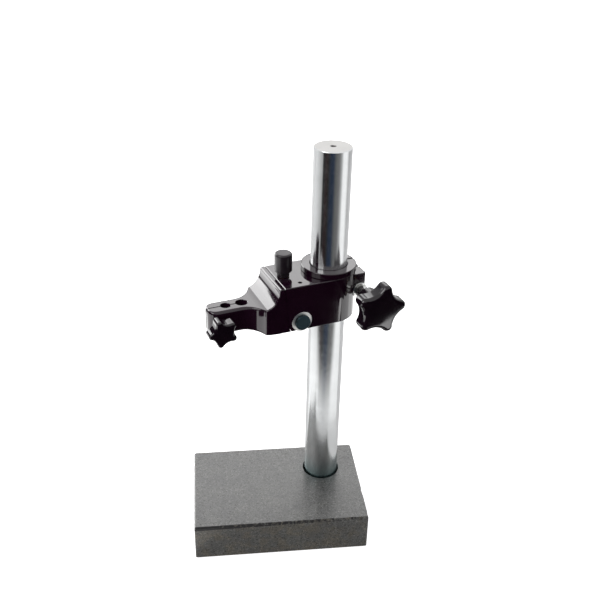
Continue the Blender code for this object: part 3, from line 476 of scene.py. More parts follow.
def chrome_finish():
    """Ground chrome: grooves round the bar draw reflections out along it, so the smear is turned upright. Near the
    foot a painted reflection of the stone darkens it to teal.
    """
    made = metal_finish("ground_chrome", (0.87, 0.885, 0.89), 0.12, 0.17, (30.0, 30.0, 5200.0), 0.0000012)
    tree, shader = made.node_tree, made.node_tree.nodes["Principled BSDF"]
    shader.inputs["Anisotropic"].default_value = 0.92
    shader.inputs["Anisotropic Rotation"].default_value = 0.25
    height = add_node(tree, "ShaderNodeSeparateXYZ", Vector=object_point(tree)).outputs["Z"]
    plated = shader.inputs["Base Color"].links[0].from_socket
    # Painted reflection: over the lowest 22 mm above the stone the colour turns dark teal, standing in for the stone
    # mirrored in the bar.
    stone_reflection_share = span(tree, height, BASE_SIZE[2], BASE_SIZE[2] + 0.022, 1.0, 0.0)
    painted_stone_reflection = blend(tree, stone_reflection_share, plated, (0.40, 0.55, 0.56, 1.0))
    tree.links.new(painted_stone_reflection, shader.inputs["Base Color"])
    return made


def faced_finish():
    """The bar's faced end: plain bright metal, with painted shade making the centre drilling near black."""
    made = metal_finish("faced_end", (0.86, 0.85, 0.835), 0.42, 0.52, (900.0, 900.0, 900.0), 0.000008)
    tree, shader = made.node_tree, made.node_tree.nodes["Principled BSDF"]
    centred = add_node(tree, "ShaderNodeMapping", Vector=object_point(tree))
    centred.inputs["Location"].default_value = -COLUMN_PLACE
    split = add_node(tree, "ShaderNodeSeparateXYZ", Vector=centred.outputs[0])
    x, y = split.outputs["X"], split.outputs["Y"]
    away = maths(tree, "SQRT",
                 maths(tree, "ADD", maths(tree, "MULTIPLY", x, x), maths(tree, "MULTIPLY", y, y)))
    # Painted shade: within the centre drilling the colour is near black, as the small hole looks dark.
    hole_shade = span(tree, away, 0.0021, 0.0026, 1.0, 0.0)
    turned = shader.inputs["Base Color"].links[0].from_socket
    tree.links.new(blend(tree, hole_shade, turned, (0.06, 0.055, 0.055, 1.0)), shader.inputs["Base Color"])
    return made


CHROME = chrome_finish()
FACED = faced_finish()
STEEL = metal_finish("turned_steel", (0.60, 0.60, 0.59), 0.20, 0.32, (900.0, 900.0, 900.0), 0.000012)
BRONZE = metal_finish("turned_bronze", (0.55, 0.37, 0.18), 0.24, 0.38, (900.0, 900.0, 900.0), 0.000012)
WIRE = metal_finish("spring_wire", (0.52, 0.52, 0.54), 0.18, 0.3, (700.0, 700.0, 700.0), 0.00001)
BLACKENED = metal_finish("blackened_steel", (0.030, 0.050, 0.060), 0.25, 0.42,
                         (1100.0, 1100.0, 1100.0), 0.00001)
BRIGHT = metal_finish("bright_cut_steel", (0.95, 0.95, 0.93), 0.45, 0.55, (1500.0, 1500.0, 1500.0), 0.00001)
print("metals:", [finish.name for finish in (CHROME, FACED, STEEL, BRONZE, WIRE, BLACKENED, BRIGHT)])

# %% [markdown]
# ## Turning the column
# The bar's profile runs from the tapped hole in its foot up the outside to the centre drilling in its
# top. That little funnel is where the grinder's centre held the bar.
# Its top was faced and not ground, so those faces carry a second finish.

# %% Column
COLUMN_FOOT = BASE_SIZE[2] - SEAT_DEPTH + 0.0003
COLUMN_TOP = BASE_SIZE[2] + COLUMN_RISE
TAP_RADIUS = 0.0063
TAP_TOP = COLUMN_FOOT + 0.019

column_profile = rounded([
    (0.0008, TAP_TOP, 0), (TAP_RADIUS, TAP_TOP, 0), (TAP_RADIUS, COLUMN_FOOT, 0.0002),
    (COLUMN_RADIUS - 0.0008, COLUMN_FOOT, 0.0002), (COLUMN_RADIUS, COLUMN_FOOT + 0.0008, 0.0003),
    (COLUMN_RADIUS, COLUMN_TOP - 0.0007, 0.00025), (COLUMN_RADIUS - 0.0008, COLUMN_TOP, 0.00025),
    (0.0024, COLUMN_TOP, 0.0002), (0.0009, COLUMN_TOP - 0.003, 0.0001),
    (0.0009, COLUMN_TOP - 0.0055, 0.0002), (0.0002, COLUMN_TOP - 0.0055, 0)], 5)
column = piece_from_rings("chrome_column", on_column(turned_rings(column_profile, 192)))
dressed(shade(column, 28), CHROME, "base", ["column"])
column.data.materials.append(FACED)
middles = np.empty(len(column.data.polygons) * 3)
column.data.polygons.foreach_get("center", middles)
middles = middles.reshape(-1, 3) - COLUMN_PLACE
ends = (middles[:, 2] > COLUMN_TOP - 0.00012) | (np.hypot(middles[:, 0], middles[:, 1]) < 0.004)
column.data.polygons.foreach_set("material_index", ends.astype(int))

# %% [markdown]
# ## Black enamel and moulded black
# The arm is a casting under gloss black enamel, which levels like a thin film and still shows a faint
# orange peel. The knobs are a moulded thermoset: a little warmer, a little duller, with soft flow
# marks. All are dielectric, so the highlight stays white and only the body colour is dark.
# The fine knob has a satin one of its own.


# %% Enamel and moulding finishes
def gloss_finish(name, colour, tint, rough_low, rough_high, peel_scale, peel_depth, coat):
    """A dark glossy coat: colour drifting to a tint, patchy roughness, shallow peel and a clear coat."""
    made, tree, shader = new_finish(name)
    point = object_point(tree)
    tone = ramp(tree, noise(tree, point, 38.0, 3.0), [(0.35, colour), (0.7, tint)])
    specks = ramp(tree, noise(tree, point, 2600.0, 2.0), [(0.0, 1.0), (0.76, 1.0), (0.82, 1.6)])
    tone = blend(tree, 1.0, tone, specks, "MULTIPLY")
    tree.links.new(tone, shader.inputs["Base Color"])
    rough = span(tree, noise(tree, point, 95.0, 5.0, 0.6), 0.3, 0.7, rough_low, rough_high)
    tree.links.new(rough, shader.inputs["Roughness"])
    shader.inputs["Coat Weight"].default_value = coat
    shader.inputs["Coat Roughness"].default_value = 0.04
    relief(tree, shader, noise(tree, point, peel_scale, 2.0, 0.4), 0.3, peel_depth)
    return made


ENAMEL = gloss_finish("black_enamel", (0.014, 0.0036, 0.011), (0.018, 0.005, 0.014),
                      0.06, 0.10, 420.0, 0.000008, 0.25)
MOULDED = gloss_finish("moulded_black", (0.008, 0.004, 0.008), (0.012, 0.006, 0.011),
                       0.04, 0.07, 300.0, 0.000004, 0.2)
SATIN = gloss_finish("satin_black", (0.012, 0.007, 0.011), (0.018, 0.011, 0.017),
                     0.27, 0.36, 300.0, 0.000006, 0.0)
print("black finishes:", ENAMEL.name, MOULDED.name, SATIN.name)

# %% [markdown]
# ## The split bush
# The bush lines the arm's bore and its flange caps the hub as a low round collar. It is split at the
# back, so that the clamp can squeeze it on the column. Its profile is a closed loop turned round the
# column, and a thin tool body cuts the split.

# %% Bush
ARM_HEIGHT = 0.0395
BUSH_BORE = COLUMN_RADIUS + 0.0003
BUSH_RADIUS = BUSH_BORE + 0.0017
ARM_HALF_WIDTH = 0.022
FLANGE_RADIUS = 0.0226
FLANGE_LOW = ARM_HEIGHT + 0.0003
FLANGE_TOP = FLANGE_LOW + 0.0047


def block(name, low, high):
    """A tool body with straight sides between two corners along the arm's axes."""
    (u0, v0, w0), (u1, v1, w1) = low, high
    outline = np.array([(u0, v0), (u1, v0), (u1, v1), (u0, v1)], float)
    rings = [np.column_stack([outline, np.full(4, height)]) for height in (w0, w1)]
    return piece_from_rings(name, on_arm(np.stack(rings)))


bush_profile = rounded_loop([
    (BUSH_BORE, 0.0003, 0.0002), (BUSH_RADIUS, 0.0003, 0.0002), (BUSH_RADIUS, FLANGE_LOW, 0),
    (FLANGE_RADIUS, FLANGE_LOW, 0.0003), (FLANGE_RADIUS, FLANGE_TOP, 0.0009),
    (BUSH_BORE, FLANGE_TOP, 0.0007)], 5)
bush = piece_from_rings("split_bush", on_arm(turned_rings(bush_profile, 160)), bored=True)
carve(bush, [block("split", (-0.03, -0.001, -0.002), (0.0, 0.001, 0.05))])
dressed(shade(bush, 30), ENAMEL, "bush", ["hub_bush"])

# %% [markdown]
# ## The rear casting
# Seen from above the casting is a half circle round the column that runs out into a straight arm. Its
# top and bottom edges are softly rounded, so the outline is stacked with a small inset at both ends,
# following a quarter circle. The front is then trimmed along the slit, and the bores are cut.

# %% Casting sizes
HUB_BORE = BUSH_RADIUS + 0.0003
PIN_U = 0.0318
PIN_W = 0.0072
FINE_U = 0.0398
SLIT_U = 0.047
SLIT_WIDTH = 0.0005
LOBE_RADIUS = 0.0115
CLAMP_U = -0.022
CLAMP_W = 0.0225
LUG_LOW = 0.017
LUG_TOP = 0.0365
LUG_REAR = -0.028
LUG_HALF_WIDTH = 0.014
POCKET_REAR = 0.0206
POCKET_HALF = 0.0103
POCKET_TOP = 0.024
REACH = 0.03


def stacked(name, outline_at, low, high, edge, steps=4):
    """A prism with rounded rims: outline_at(inset) at heights that follow a quarter circle."""
    turn = np.radians(np.linspace(90, 0, steps + 1))
    insets = edge * (1 - np.cos(turn))
    drops = edge * (1 - np.sin(turn))
    heights = np.concatenate([low + drops, (high - drops)[::-1]])
    insets = np.concatenate([insets, insets[::-1]])
    rings = [np.column_stack([outline_at(inset), np.full(len(outline_at(inset)), height)])
             for inset, height in zip(insets, heights)]
    return piece_from_rings(name, on_arm(np.stack(rings)))


def casting_outline(inset):
    """Half circle round the column, then straight sides to beyond the slit."""
    half = ARM_HALF_WIDTH - inset
    hub = arc(0, 0, half, 90, 270, 72)
    sides = np.linspace(0, SLIT_U + 0.006, 14)[1:, None]
    near = np.column_stack([sides[::-1], np.full(13, half)])
    far = np.column_stack([sides, np.full(13, -half)])
    return np.concatenate([hub, far, near])


def lug_outline(inset):
    """The lugs' outline: square at the hub, round at the rear corners."""
    half = LUG_HALF_WIDTH - inset
    rear = LUG_REAR + inset
    corner = 0.0028 - inset
    return np.concatenate([[(-HUB_BORE, half), (-HUB_BORE, -half)][::-1],
                           arc(rear + corner, half - corner, corner, 90, 180, 8),
                           arc(rear + corner, -half + corner, corner, 180, 270, 8)])


def slit_line(lobe, reach, lean, steps=24):
    """Side view of the slit: round the pin, up the tangent and out over a broken edge."""
    rise, run = ARM_HEIGHT - PIN_W, reach - PIN_U
    tangent = math.degrees(math.atan2(rise, run) - math.acos(lobe / math.hypot(run, rise)))
    edge = 0.0005
    return np.concatenate([arc(PIN_U, PIN_W, lobe, -90, tangent, steps),
                           [(reach, ARM_HEIGHT - edge), (reach + lean * (edge + 0.005), ARM_HEIGHT + 0.005)]])


def side_plate(name, outline, half):
    """A tool body: an outline in u and w carried sideways to both sides."""
    rings = [np.column_stack([outline[:, 0], np.full(len(outline), side), outline[:, 1]])
             for side in (-half, half)]
    return piece_from_rings(name, on_arm(np.stack(rings)))


def bar(name, radius, low, high, place=(0.0, 0.0, 0.0), lying=False, mouth=None, chamfer=0.0003, sides=96):
    """A round tool body, upright or lying along v. At the mouth's height it opens out at 45 degrees."""
    profile = [(radius, low), (radius, high)]
    if mouth is not None:
        profile = [(radius, low), (radius, mouth - chamfer), (radius + chamfer + high - mouth, high)]
    points = turned_rings(profile, sides)
    points = sideways(points) if lying else points
    return piece_from_rings(name, on_arm(points + np.array(place)))


print("casting from", LUG_REAR, "to", SLIT_U, "along u")

# %% [markdown]
# ## Cutting the casting
# The order is that of a workshop: join the lugs, trim the front along the slit, mill the pocket for
# the tongue, bore the hub, saw the slit between the lugs, then drill. Holes that show get a small
# countersink. The bright ring round the pin is a spotface cut through the enamel, so it is a thin
# metal disc of its own, laid in the cut.

# %% Casting
PIN_RADIUS = 0.003
SPOTFACE_RADIUS = 0.0088
SPOTFACE_FLOOR = ARM_HALF_WIDTH - 0.001
LOCK_V = 0.0103 + (ARM_HALF_WIDTH - 0.0103) * 0.45
SPRING_U = PIN_U - 0.0053


def make_casting():
    """Rear casting with hub, lugs, cheeks and bridge."""
    body = stacked("rear_casting", casting_outline, 0.0, ARM_HEIGHT, 0.0009, 5)
    carve(body, [stacked("lugs", lug_outline, LUG_LOW, LUG_TOP, 0.0008, 4)], "UNION")
    front = slit_line(LOBE_RADIUS, SLIT_U - SLIT_WIDTH / 2, -1)
    rear = np.array([(-0.04, ARM_HEIGHT + 0.005), (-0.04, PIN_W - LOBE_RADIUS)])
    carve(body, [side_plate("kept", np.concatenate([front, rear]), REACH)], "INTERSECT")
    pin = (PIN_U, 0.0, PIN_W)
    clamp = (CLAMP_U, 0.0, CLAMP_W)
    tools = [
        block("pocket", (POCKET_REAR, -POCKET_HALF, -0.005), (0.06, POCKET_HALF, POCKET_TOP)),
        block("lug_slit", (-0.04, -0.00175, -0.005), (0.0, 0.00175, 0.05)),
        bar("hub_bore", HUB_BORE, -0.005, 0.05, sides=160),
        bar("pin_bore", PIN_RADIUS + 0.0003, -REACH, REACH, pin, lying=True),
        bar("spotface", SPOTFACE_RADIUS, SPOTFACE_FLOOR, REACH, pin, lying=True, mouth=ARM_HALF_WIDTH,
            chamfer=0.0002, sides=128),
        bar("clamp_near", 0.0034, 0.0, REACH, clamp, lying=True),
        bar("clamp_far", 0.0033, -REACH, 0.0, clamp, lying=True),
        bar("clamp_spotface", 0.0071, 0.0137, REACH, clamp, lying=True),
        bar("fine_bore", 0.0047, 0.019, 0.045, (FINE_U, 0.0, 0.0), mouth=ARM_HEIGHT),
        bar("spring_bore", 0.0036, 0.019, 0.033, (SPRING_U, 0.0, 0.0)),
        bar("lock_hole", 0.00155, PIN_W, 0.045, (PIN_U, LOCK_V, 0.0), mouth=ARM_HEIGHT, chamfer=0.0002)]
    carve(body, tools)
    return dressed(shade(body, 30), ENAMEL, "arm", ["arm_body"])


casting = make_casting()

# %% [markdown]
# ## The nose as a loft
# The nose is cast in one sweep: the arm's full block rolls over its crest, falls in a hollow curve to
# a flat nose, and draws in at the sides with a second hollow. Every section across it is a rounded
# rectangle, whose half width, top and underside are functions of the distance along the arm. The
# functions are written for whole arrays, with one branch for each arc.

# %% Nose sizes
CREST_U = SLIT_U + 0.0024
CREST_ROUND = 0.0018
NOSE_TOP = 0.0225
SLOPE_RADIUS = ARM_HEIGHT - NOSE_TOP - CREST_ROUND
SLOPE_U = CREST_U + CREST_ROUND + SLOPE_RADIUS
LARGE_BORE_U = SLOPE_U + 0.0089
SMALL_BORE_U = LARGE_BORE_U + 0.0133
STEM_CLAMP_U = SMALL_BORE_U + 0.0089
TIP_U = STEM_CLAMP_U + 0.007
WAIST_U = LARGE_BORE_U + 0.0037
WAIST_RADIUS = 0.0175
SHOULDER_ROUND = 0.003
NOSE_HALF = 0.0097
TIP_CORNER = 0.008
TIP_EDGE = 0.0025
SHOULDER_V = ARM_HALF_WIDTH - SHOULDER_ROUND
SHOULDER_U = WAIST_U - math.sqrt((WAIST_RADIUS + SHOULDER_ROUND) ** 2
                                 - (NOSE_HALF + WAIST_RADIUS - SHOULDER_V) ** 2)
MEET_U = SHOULDER_U + (WAIST_U - SHOULDER_U) * SHOULDER_ROUND / (SHOULDER_ROUND + WAIST_RADIUS)


def leg(radius, distance):
    """Height of a circle over a distance from its centre: the square root of r squared less d squared."""
    return np.sqrt(np.clip(radius ** 2 - distance ** 2, 0, None))


def half_width(u):
    """Plan of the nose: straight side, shoulder round, hollow waist, nose and tip corner."""
    return np.select(
        [u <= SHOULDER_U, u <= MEET_U, u < WAIST_U, u < TIP_U - TIP_CORNER],
        [np.full_like(u, ARM_HALF_WIDTH), SHOULDER_V + leg(SHOULDER_ROUND, u - SHOULDER_U),
         NOSE_HALF + WAIST_RADIUS - leg(WAIST_RADIUS, WAIST_U - u), np.full_like(u, NOSE_HALF)],
        NOSE_HALF - TIP_CORNER + leg(TIP_CORNER, u - TIP_U + TIP_CORNER))


def nose_top(u):
    """Top line: crest, its round, the hollow slope, the flat and the tip's edge."""
    return np.select(
        [u <= CREST_U, u <= CREST_U + CREST_ROUND, u < SLOPE_U, u < TIP_U - TIP_EDGE],
        [np.full_like(u, ARM_HEIGHT), ARM_HEIGHT - CREST_ROUND + leg(CREST_ROUND, u - CREST_U),
         NOSE_TOP + SLOPE_RADIUS - leg(SLOPE_RADIUS, SLOPE_U - u), np.full_like(u, NOSE_TOP)],
        NOSE_TOP - TIP_EDGE + leg(TIP_EDGE, u - TIP_U + TIP_EDGE))


def eased(u):
    """From 0 at the crest to 1 at the end of the waist, as half a cosine wave."""
    share = np.clip((u - CREST_U - CREST_ROUND) / (WAIST_U - CREST_U - CREST_ROUND), 0, 1)
    return (1 - np.cos(np.pi * share)) / 2


def nose_bottom(u):
    """Underside: flat under the block, 2 mm higher under the nose, with the tip's edge rounded."""
    tip = TIP_EDGE - leg(TIP_EDGE, np.clip(u - TIP_U + TIP_EDGE, 0, None))
    return 0.002 * eased(u) + tip


def nose_stations():
    """Places for sections: even along each arc, so steep stretches get as many as flat ones."""
    meet = math.degrees(math.asin((WAIST_U - MEET_U) / WAIST_RADIUS))
    joined = np.concatenate([
        [PIN_U, 0.042, 0.045], arc(CREST_U, 0, CREST_ROUND, 90, 0, 10)[:, 0],
        arc(SLOPE_U, 0, SLOPE_RADIUS, 180, 90, 48)[:, 0], arc(SHOULDER_U, 0, SHOULDER_ROUND, 90, 8, 12)[:, 0],
        arc(WAIST_U, 0, WAIST_RADIUS, 90 + meet, 90, 30)[:, 0],
        np.linspace(WAIST_U, TIP_U - TIP_CORNER, 14),
        arc(TIP_U - TIP_CORNER, 0, TIP_CORNER, 90, 0, 26)[:, 0]])
    joined = np.sort(joined)
    return joined[np.concatenate([[True], np.diff(joined) > 0.00004])]


def nose_rings(steps=8):
    """Rounded rectangles at all stations: corner centre plus a quarter turn of the corner radius."""
    u = nose_stations()[:, None]
    half, low, high = half_width(u), nose_bottom(u), nose_top(u)
    radius = np.minimum(0.0009 + 0.0021 * eased(u), half * 0.93)
    turn = np.radians(np.concatenate(
        [np.linspace(start, start + 90, steps + 1) for start in (0, 90, 180, 270)]))
    side = np.repeat([1, -1, -1, 1], steps + 1)
    above = np.repeat([True, True, False, False], steps + 1)
    v = side * (half - radius) + radius * np.cos(turn)
    w = np.where(above, high - radius, low + radius) + radius * np.sin(turn)
    return np.stack([np.broadcast_to(u, v.shape), v, w], axis=-1)


print("sections along the nose:", len(nose_stations()))

# %% [markdown]
# ## Cutting the nose
# Behind the slit the block is cut away round the pin, and a tongue is joined on that runs back into
# the arm. The two stem bores are reamed through the nose, and a saw cut from the tip lets the small
# knob squeeze them.

# %% Nose
STEM_CLAMP_W = 0.0102
TONGUE_TOP = 0.020


def tongue_plate():
    """The tongue's side view with two rounded rear corners."""
    tail, corner, root = PIN_U - 0.0102, 0.0015, PIN_U + 0.0165
    outline = np.concatenate([arc(tail + corner, TONGUE_TOP - corner, corner, 90, 180, 8),
                              arc(tail + corner, 0.001 + corner, corner, 180, 270, 8),
                              [(root, 0.001), (root, TONGUE_TOP)]])
    return side_plate("tongue", outline, 0.010)


def make_nose():
    """Tilting nose with its bores, saw cut and tongue."""
    nose = piece_from_rings("tilting_nose", on_arm(nose_rings()))
    front = slit_line(LOBE_RADIUS + 0.0003, SLIT_U + SLIT_WIDTH / 2, 1)
    rear = np.array([(0.01, ARM_HEIGHT + 0.005), (0.01, PIN_W - LOBE_RADIUS - 0.0003)])
    carve(nose, [side_plate("behind", np.concatenate([front, rear]), REACH)])
    carve(nose, [tongue_plate()], "UNION")
    clamp = (STEM_CLAMP_U, 0.0, STEM_CLAMP_W)
    tools = [
        bar("pivot_bore", 0.0046, -REACH, REACH, (PIN_U, 0.0, PIN_W), lying=True),
        bar("large_bore", 0.00476, -0.005, 0.03, (LARGE_BORE_U, 0.0, 0.0), mouth=NOSE_TOP, sides=128),
        bar("small_bore", 0.004, -0.005, 0.03, (SMALL_BORE_U, 0.0, 0.0), mouth=NOSE_TOP, sides=128),
        block("saw_cut", (LARGE_BORE_U, -0.00055, -0.005), (0.12, 0.00055, 0.03)),
        bar("stem_near", 0.0029, 0.0, REACH, clamp, lying=True),
        bar("stem_far", 0.0028, -REACH, 0.0, clamp, lying=True),
        bar("spring_seat", 0.0036, TONGUE_TOP - 0.0019, 0.024, (SPRING_U, 0.0, 0.0)),
        bar("pad_seat", 0.0028, TONGUE_TOP - 0.0023, 0.024, (FINE_U, 0.0, 0.0))]
    carve(nose, tools)
    return dressed(shade(nose, 30), ENAMEL, "nose", ["nose_lever"])


tilting_nose = make_nose()

# %% [markdown]
# ## Pin, spotface and clip
# The pivot pin is turned with a wide head. A spring clip snaps into a groove at its far end. The cut
# spotface under the head is bare metal, so a thin ring with a hole lines that cut.

# %% Pin, ring and clip
def round_piece(name, profile, place, lying=False, sides=96, bored=False):
    """A turned piece along the arm's axes, from a profile of radii and heights above its place."""
    points = turned_rings(profile, sides)
    points = sideways(points) if lying else points
    return piece_from_rings(name, on_arm(points + np.array(place)), bored)


PIN_PLACE = (PIN_U, 0.0, PIN_W)
HEAD_RADIUS = 0.00635
pin_profile = rounded([
    (0.0003, -0.0253, 0), (0.0026, -0.0253, 0.0001), (PIN_RADIUS, -0.0249, 0.0002), (PIN_RADIUS, -0.0237, 0),
    (0.0024, -0.0237, 0), (0.0024, -0.0223, 0), (PIN_RADIUS, -0.0223, 0), (PIN_RADIUS, 0.0213, 0),
    (HEAD_RADIUS, 0.0213, 0.0002), (HEAD_RADIUS, 0.0239, 0.0003), (HEAD_RADIUS - 0.0006, 0.0245, 0.0003),
    (0.0003, 0.0245, 0)], 5)
pin = round_piece("turned_pin", pin_profile, PIN_PLACE, lying=True, sides=128)
dressed(shade(pin, 28), BLACKENED, "arm", ["pivot_pin"])

ring_profile = rounded_loop([
    (PIN_RADIUS + 0.0004, SPOTFACE_FLOOR, 0), (SPOTFACE_RADIUS - 0.0001, SPOTFACE_FLOOR, 0),
    (SPOTFACE_RADIUS - 0.0001, SPOTFACE_FLOOR + 0.00012, 0.00004),
    (PIN_RADIUS + 0.0004, SPOTFACE_FLOOR + 0.00012, 0)])
spotface = round_piece("bright_spotface", ring_profile, PIN_PLACE, lying=True, sides=128, bored=True)
dressed(shade(spotface, 28), BRIGHT, "arm", [])


def open_ring(name, inner, outer, low, high, mouth, place, steps=60):
    """A flat ring with a gap: rounded sections carried from one side of the mouth to the other."""
    section = rounded_loop([(inner, low, 0.00012), (outer, low, 0.00012), (outer, high, 0.00012),
                            (inner, high, 0.00012)], 3)
    turn = np.radians(np.linspace(270 + mouth / 2, 630 - mouth / 2, steps + 1))[:, None]
    rings = np.stack([section[:, 0] * np.cos(turn), section[:, 0] * np.sin(turn),
                      np.broadcast_to(section[:, 1], (steps + 1, len(section)))], axis=-1)
    return piece_from_rings(name, on_arm(sideways(rings) + np.array(place)))


clip = open_ring("spring_clip", 0.0027, 0.0053, -0.0234, -0.0226, 80, PIN_PLACE)
dressed(shade(clip, 30), STEEL, "arm", ["pivot_pin_clip"])

# %% [markdown]
# ## Fine adjustment knob
# A plain round knob, moulded on the screw's head. Its rim is well rounded and a narrower neck keeps it
# clear of the arm. The flat top is a little sunk, as a moulding shrinks where it is thickest.

# %% Fine knob
FINE_NECK_LOW = ARM_HEIGHT + 0.0003
FINE_HEAD_LOW = ARM_HEIGHT + 0.005
FINE_TOP = ARM_HEIGHT + 0.0205
fine_profile = rounded([
    (0.0031, 0.0492, 0), (0.0031, FINE_NECK_LOW, 0.0001), (0.005, FINE_NECK_LOW, 0.0003),
    (0.005, FINE_HEAD_LOW - 0.0003, 0.0003), (0.0071, FINE_HEAD_LOW, 0.0006), (0.0071, FINE_TOP, 0.0021),
    (0.0035, FINE_TOP - 0.00003, 0.002), (0.0002, FINE_TOP - 0.00012, 0)], 7)
fine_knob = round_piece("fine_knob", fine_profile, (FINE_U, 0, 0), sides=128)
dressed(shade(fine_knob, 35), SATIN, "fine_adjust", ["fine_adjust_knob"])

# %% [markdown]
# ## Star knobs
# A star knob's outline has five round lobes joined by round hollows, and each arc meets the next
# without a kink. A round lobe, centred at a distance from the axis, touches a hollow whose centre lies
# between two lobes. The knob is a stack of such outlines. Its front and back edges are rounded by
# drawing every point inwards along the outline's own normal, as a rolling ball would.

# %% Star knobs
LOBES = 5
LOBE_SHARE = 0.211
VALLEY_SHARE = 0.657


def star_ring(tip, inset, height, steps=14):
    """The star's outline at one height, drawn in by the inset.

    Each lobe is an arc about its own centre. Each hollow is an arc that touches the lobes beside it, so
    its centre lies where the distance to a lobe's centre is the sum of both radii.
    """
    lobe, valley = tip * LOBE_SHARE, tip * VALLEY_SHARE
    reach, half_step = tip - lobe, math.pi / LOBES
    across = reach * math.sin(half_step)
    beyond = math.sqrt((lobe + valley) ** 2 - across ** 2)
    far = reach * math.cos(half_step) + beyond
    opening = math.degrees(math.atan2(across, beyond))
    turn = opening + math.degrees(half_step)
    bulge = arc(reach, 0, lobe - inset, -turn, turn, steps)
    hollow = arc(far, 0, valley + inset, 180 + opening, 180 - opening, steps)[1:-1]
    wave = np.array([[math.cos(half_step), math.sin(half_step)], [-math.sin(half_step), math.cos(half_step)]])
    petal = np.concatenate([bulge, hollow @ wave])
    turns = [np.array([[math.cos(a), math.sin(a)], [-math.sin(a), math.cos(a)]])
             for a in np.arange(LOBES) * 2 * half_step]
    outline = np.concatenate([petal @ matrix for matrix in turns])
    return np.column_stack([outline, np.full(len(outline), height)])


def star_knob(name, tip, thickness, neck, neck_length, bore, bore_depth, turn, place):
    """A star knob along v: a stack of star rings with rounded rims, a flared neck and a blind bore."""
    front, back = tip * 0.165, tip * 0.05
    low, high = neck_length, neck_length + thickness
    lower = arc(0, 0, back, 90, 0, 4)
    upper = arc(0, 0, front, 0, 90, 12)
    levels = [(back - inset, low + back - drop) for inset, drop in lower]
    levels += [(front - inset, high - front + rise) for inset, rise in upper]
    knob = piece_from_rings(name, np.stack([star_ring(tip, inset, height) for inset, height in levels]))
    flare = rounded([(0.0004, 0.0, 0), (neck, 0.0, 0.0003), (neck, low - 0.0002, tip * 0.04),
                     (neck + tip * 0.05, low + back, 0), (0.0004, low + back * 1.5, 0)], 6)
    collar = piece_from_rings("neck", turned_rings(flare, 96))
    carve(knob, [collar], "UNION")
    carve(knob, [piece_from_rings("bore", turned_rings([(bore, -0.004), (bore, bore_depth)], 64))])
    points = np.empty(len(knob.data.vertices) * 3)
    knob.data.vertices.foreach_get("co", points)
    points = points.reshape(-1, 3)
    spin = math.radians(turn + 180)
    points = points @ np.array([[math.cos(spin), math.sin(spin), 0], [-math.sin(spin), math.cos(spin), 0],
                                [0, 0, 1]])
    knob.data.vertices.foreach_set("co", on_arm(sideways(points) + np.array(place)).ravel())
    outward(knob.data)
    return shade(knob, 35)


large_star = star_knob("large_star_knob", 0.0213, 0.012, 0.0085, 0.015, 0.0058, 0.0143, 4.5,
                       (CLAMP_U, 0.0277, CLAMP_W))
dressed(large_star, MOULDED, "column_clamp", ["column_clamp_knob"])
small_star = star_knob("small_star_knob", 0.012, 0.010, 0.0055, 0.0017, 0.0042, 0.0083, 39,
                       (STEM_CLAMP_U, 0.0116, STEM_CLAMP_W))
dressed(small_star, MOULDED, "stem_clamp", ["stem_clamp_knob"])

# %% [markdown]
# ## Studs and washers
# The large knob turns on a shouldered stud: a round shoulder presses on the washer, a thinner shank
# runs through both lugs. The small knob's stud draws the two jaws of the nose together.

# %% Studs and washers
CLAMP_PLACE = (CLAMP_U, 0.0, CLAMP_W)
STEM_PLACE = (STEM_CLAMP_U, 0.0, STEM_CLAMP_W)
large_stud = round_piece("shouldered_stud", rounded([
    (0.0003, -0.0127, 0), (0.0026, -0.0127, 0.0001), (0.003, -0.0123, 0.0001), (0.003, 0.0159, 0),
    (0.0046, 0.0159, 0.0001), (0.005, 0.0163, 0.0002), (0.005, 0.0270, 0.0002), (0.0046, 0.0274, 0.0001),
    (0.003, 0.0274, 0), (0.003, 0.0392, 0.0002), (0.0026, 0.0396, 0.0001), (0.0003, 0.0396, 0)], 4),
    CLAMP_PLACE, lying=True)
dressed(shade(large_stud, 28), STEEL, "column_clamp", ["column_clamp_screw"])
small_stud = round_piece("jaw_stud", rounded([
    (0.0003, -0.0087, 0), (0.0022, -0.0087, 0.0001), (0.0025, -0.0084, 0.0001), (0.0025, 0.0181, 0.0001),
    (0.0022, 0.0184, 0.0001), (0.0003, 0.0184, 0)], 4), STEM_PLACE, lying=True)
dressed(shade(small_stud, 28), STEEL, "stem_clamp", ["stem_clamp_screw"])


def washer(name, bore, outer, low, high, place):
    """A stamped washer: one rim rolled over by the punch, the other left crisp."""
    profile = rounded_loop([(bore, low, 0.0001), (outer, low, 0.0001), (outer, high, 0.00035),
                            (bore, high, 0.0002)], 4)
    return shade(round_piece(name, profile, place, lying=True, sides=96, bored=True), 30)


large_washer = washer("large_washer", 0.0033, 0.0065, 0.0140, 0.0156, CLAMP_PLACE)
dressed(large_washer, STEEL, "arm", ["column_clamp_washer"])
small_washer = washer("small_washer", 0.0028, 0.005, 0.0100, 0.0110, STEM_PLACE)
dressed(small_washer, STEEL, "nose", ["stem_clamp_washer"])

# %% [markdown]
# ## Return spring
# A tube swept along a helix. The centre line is (R cos t, R sin t, pitch t) and each ring of the tube
# lies in the plane of the radial direction and the binormal, so the wire keeps a round section. The
# last turn at each end lies almost flat, as springs are closed and ground.

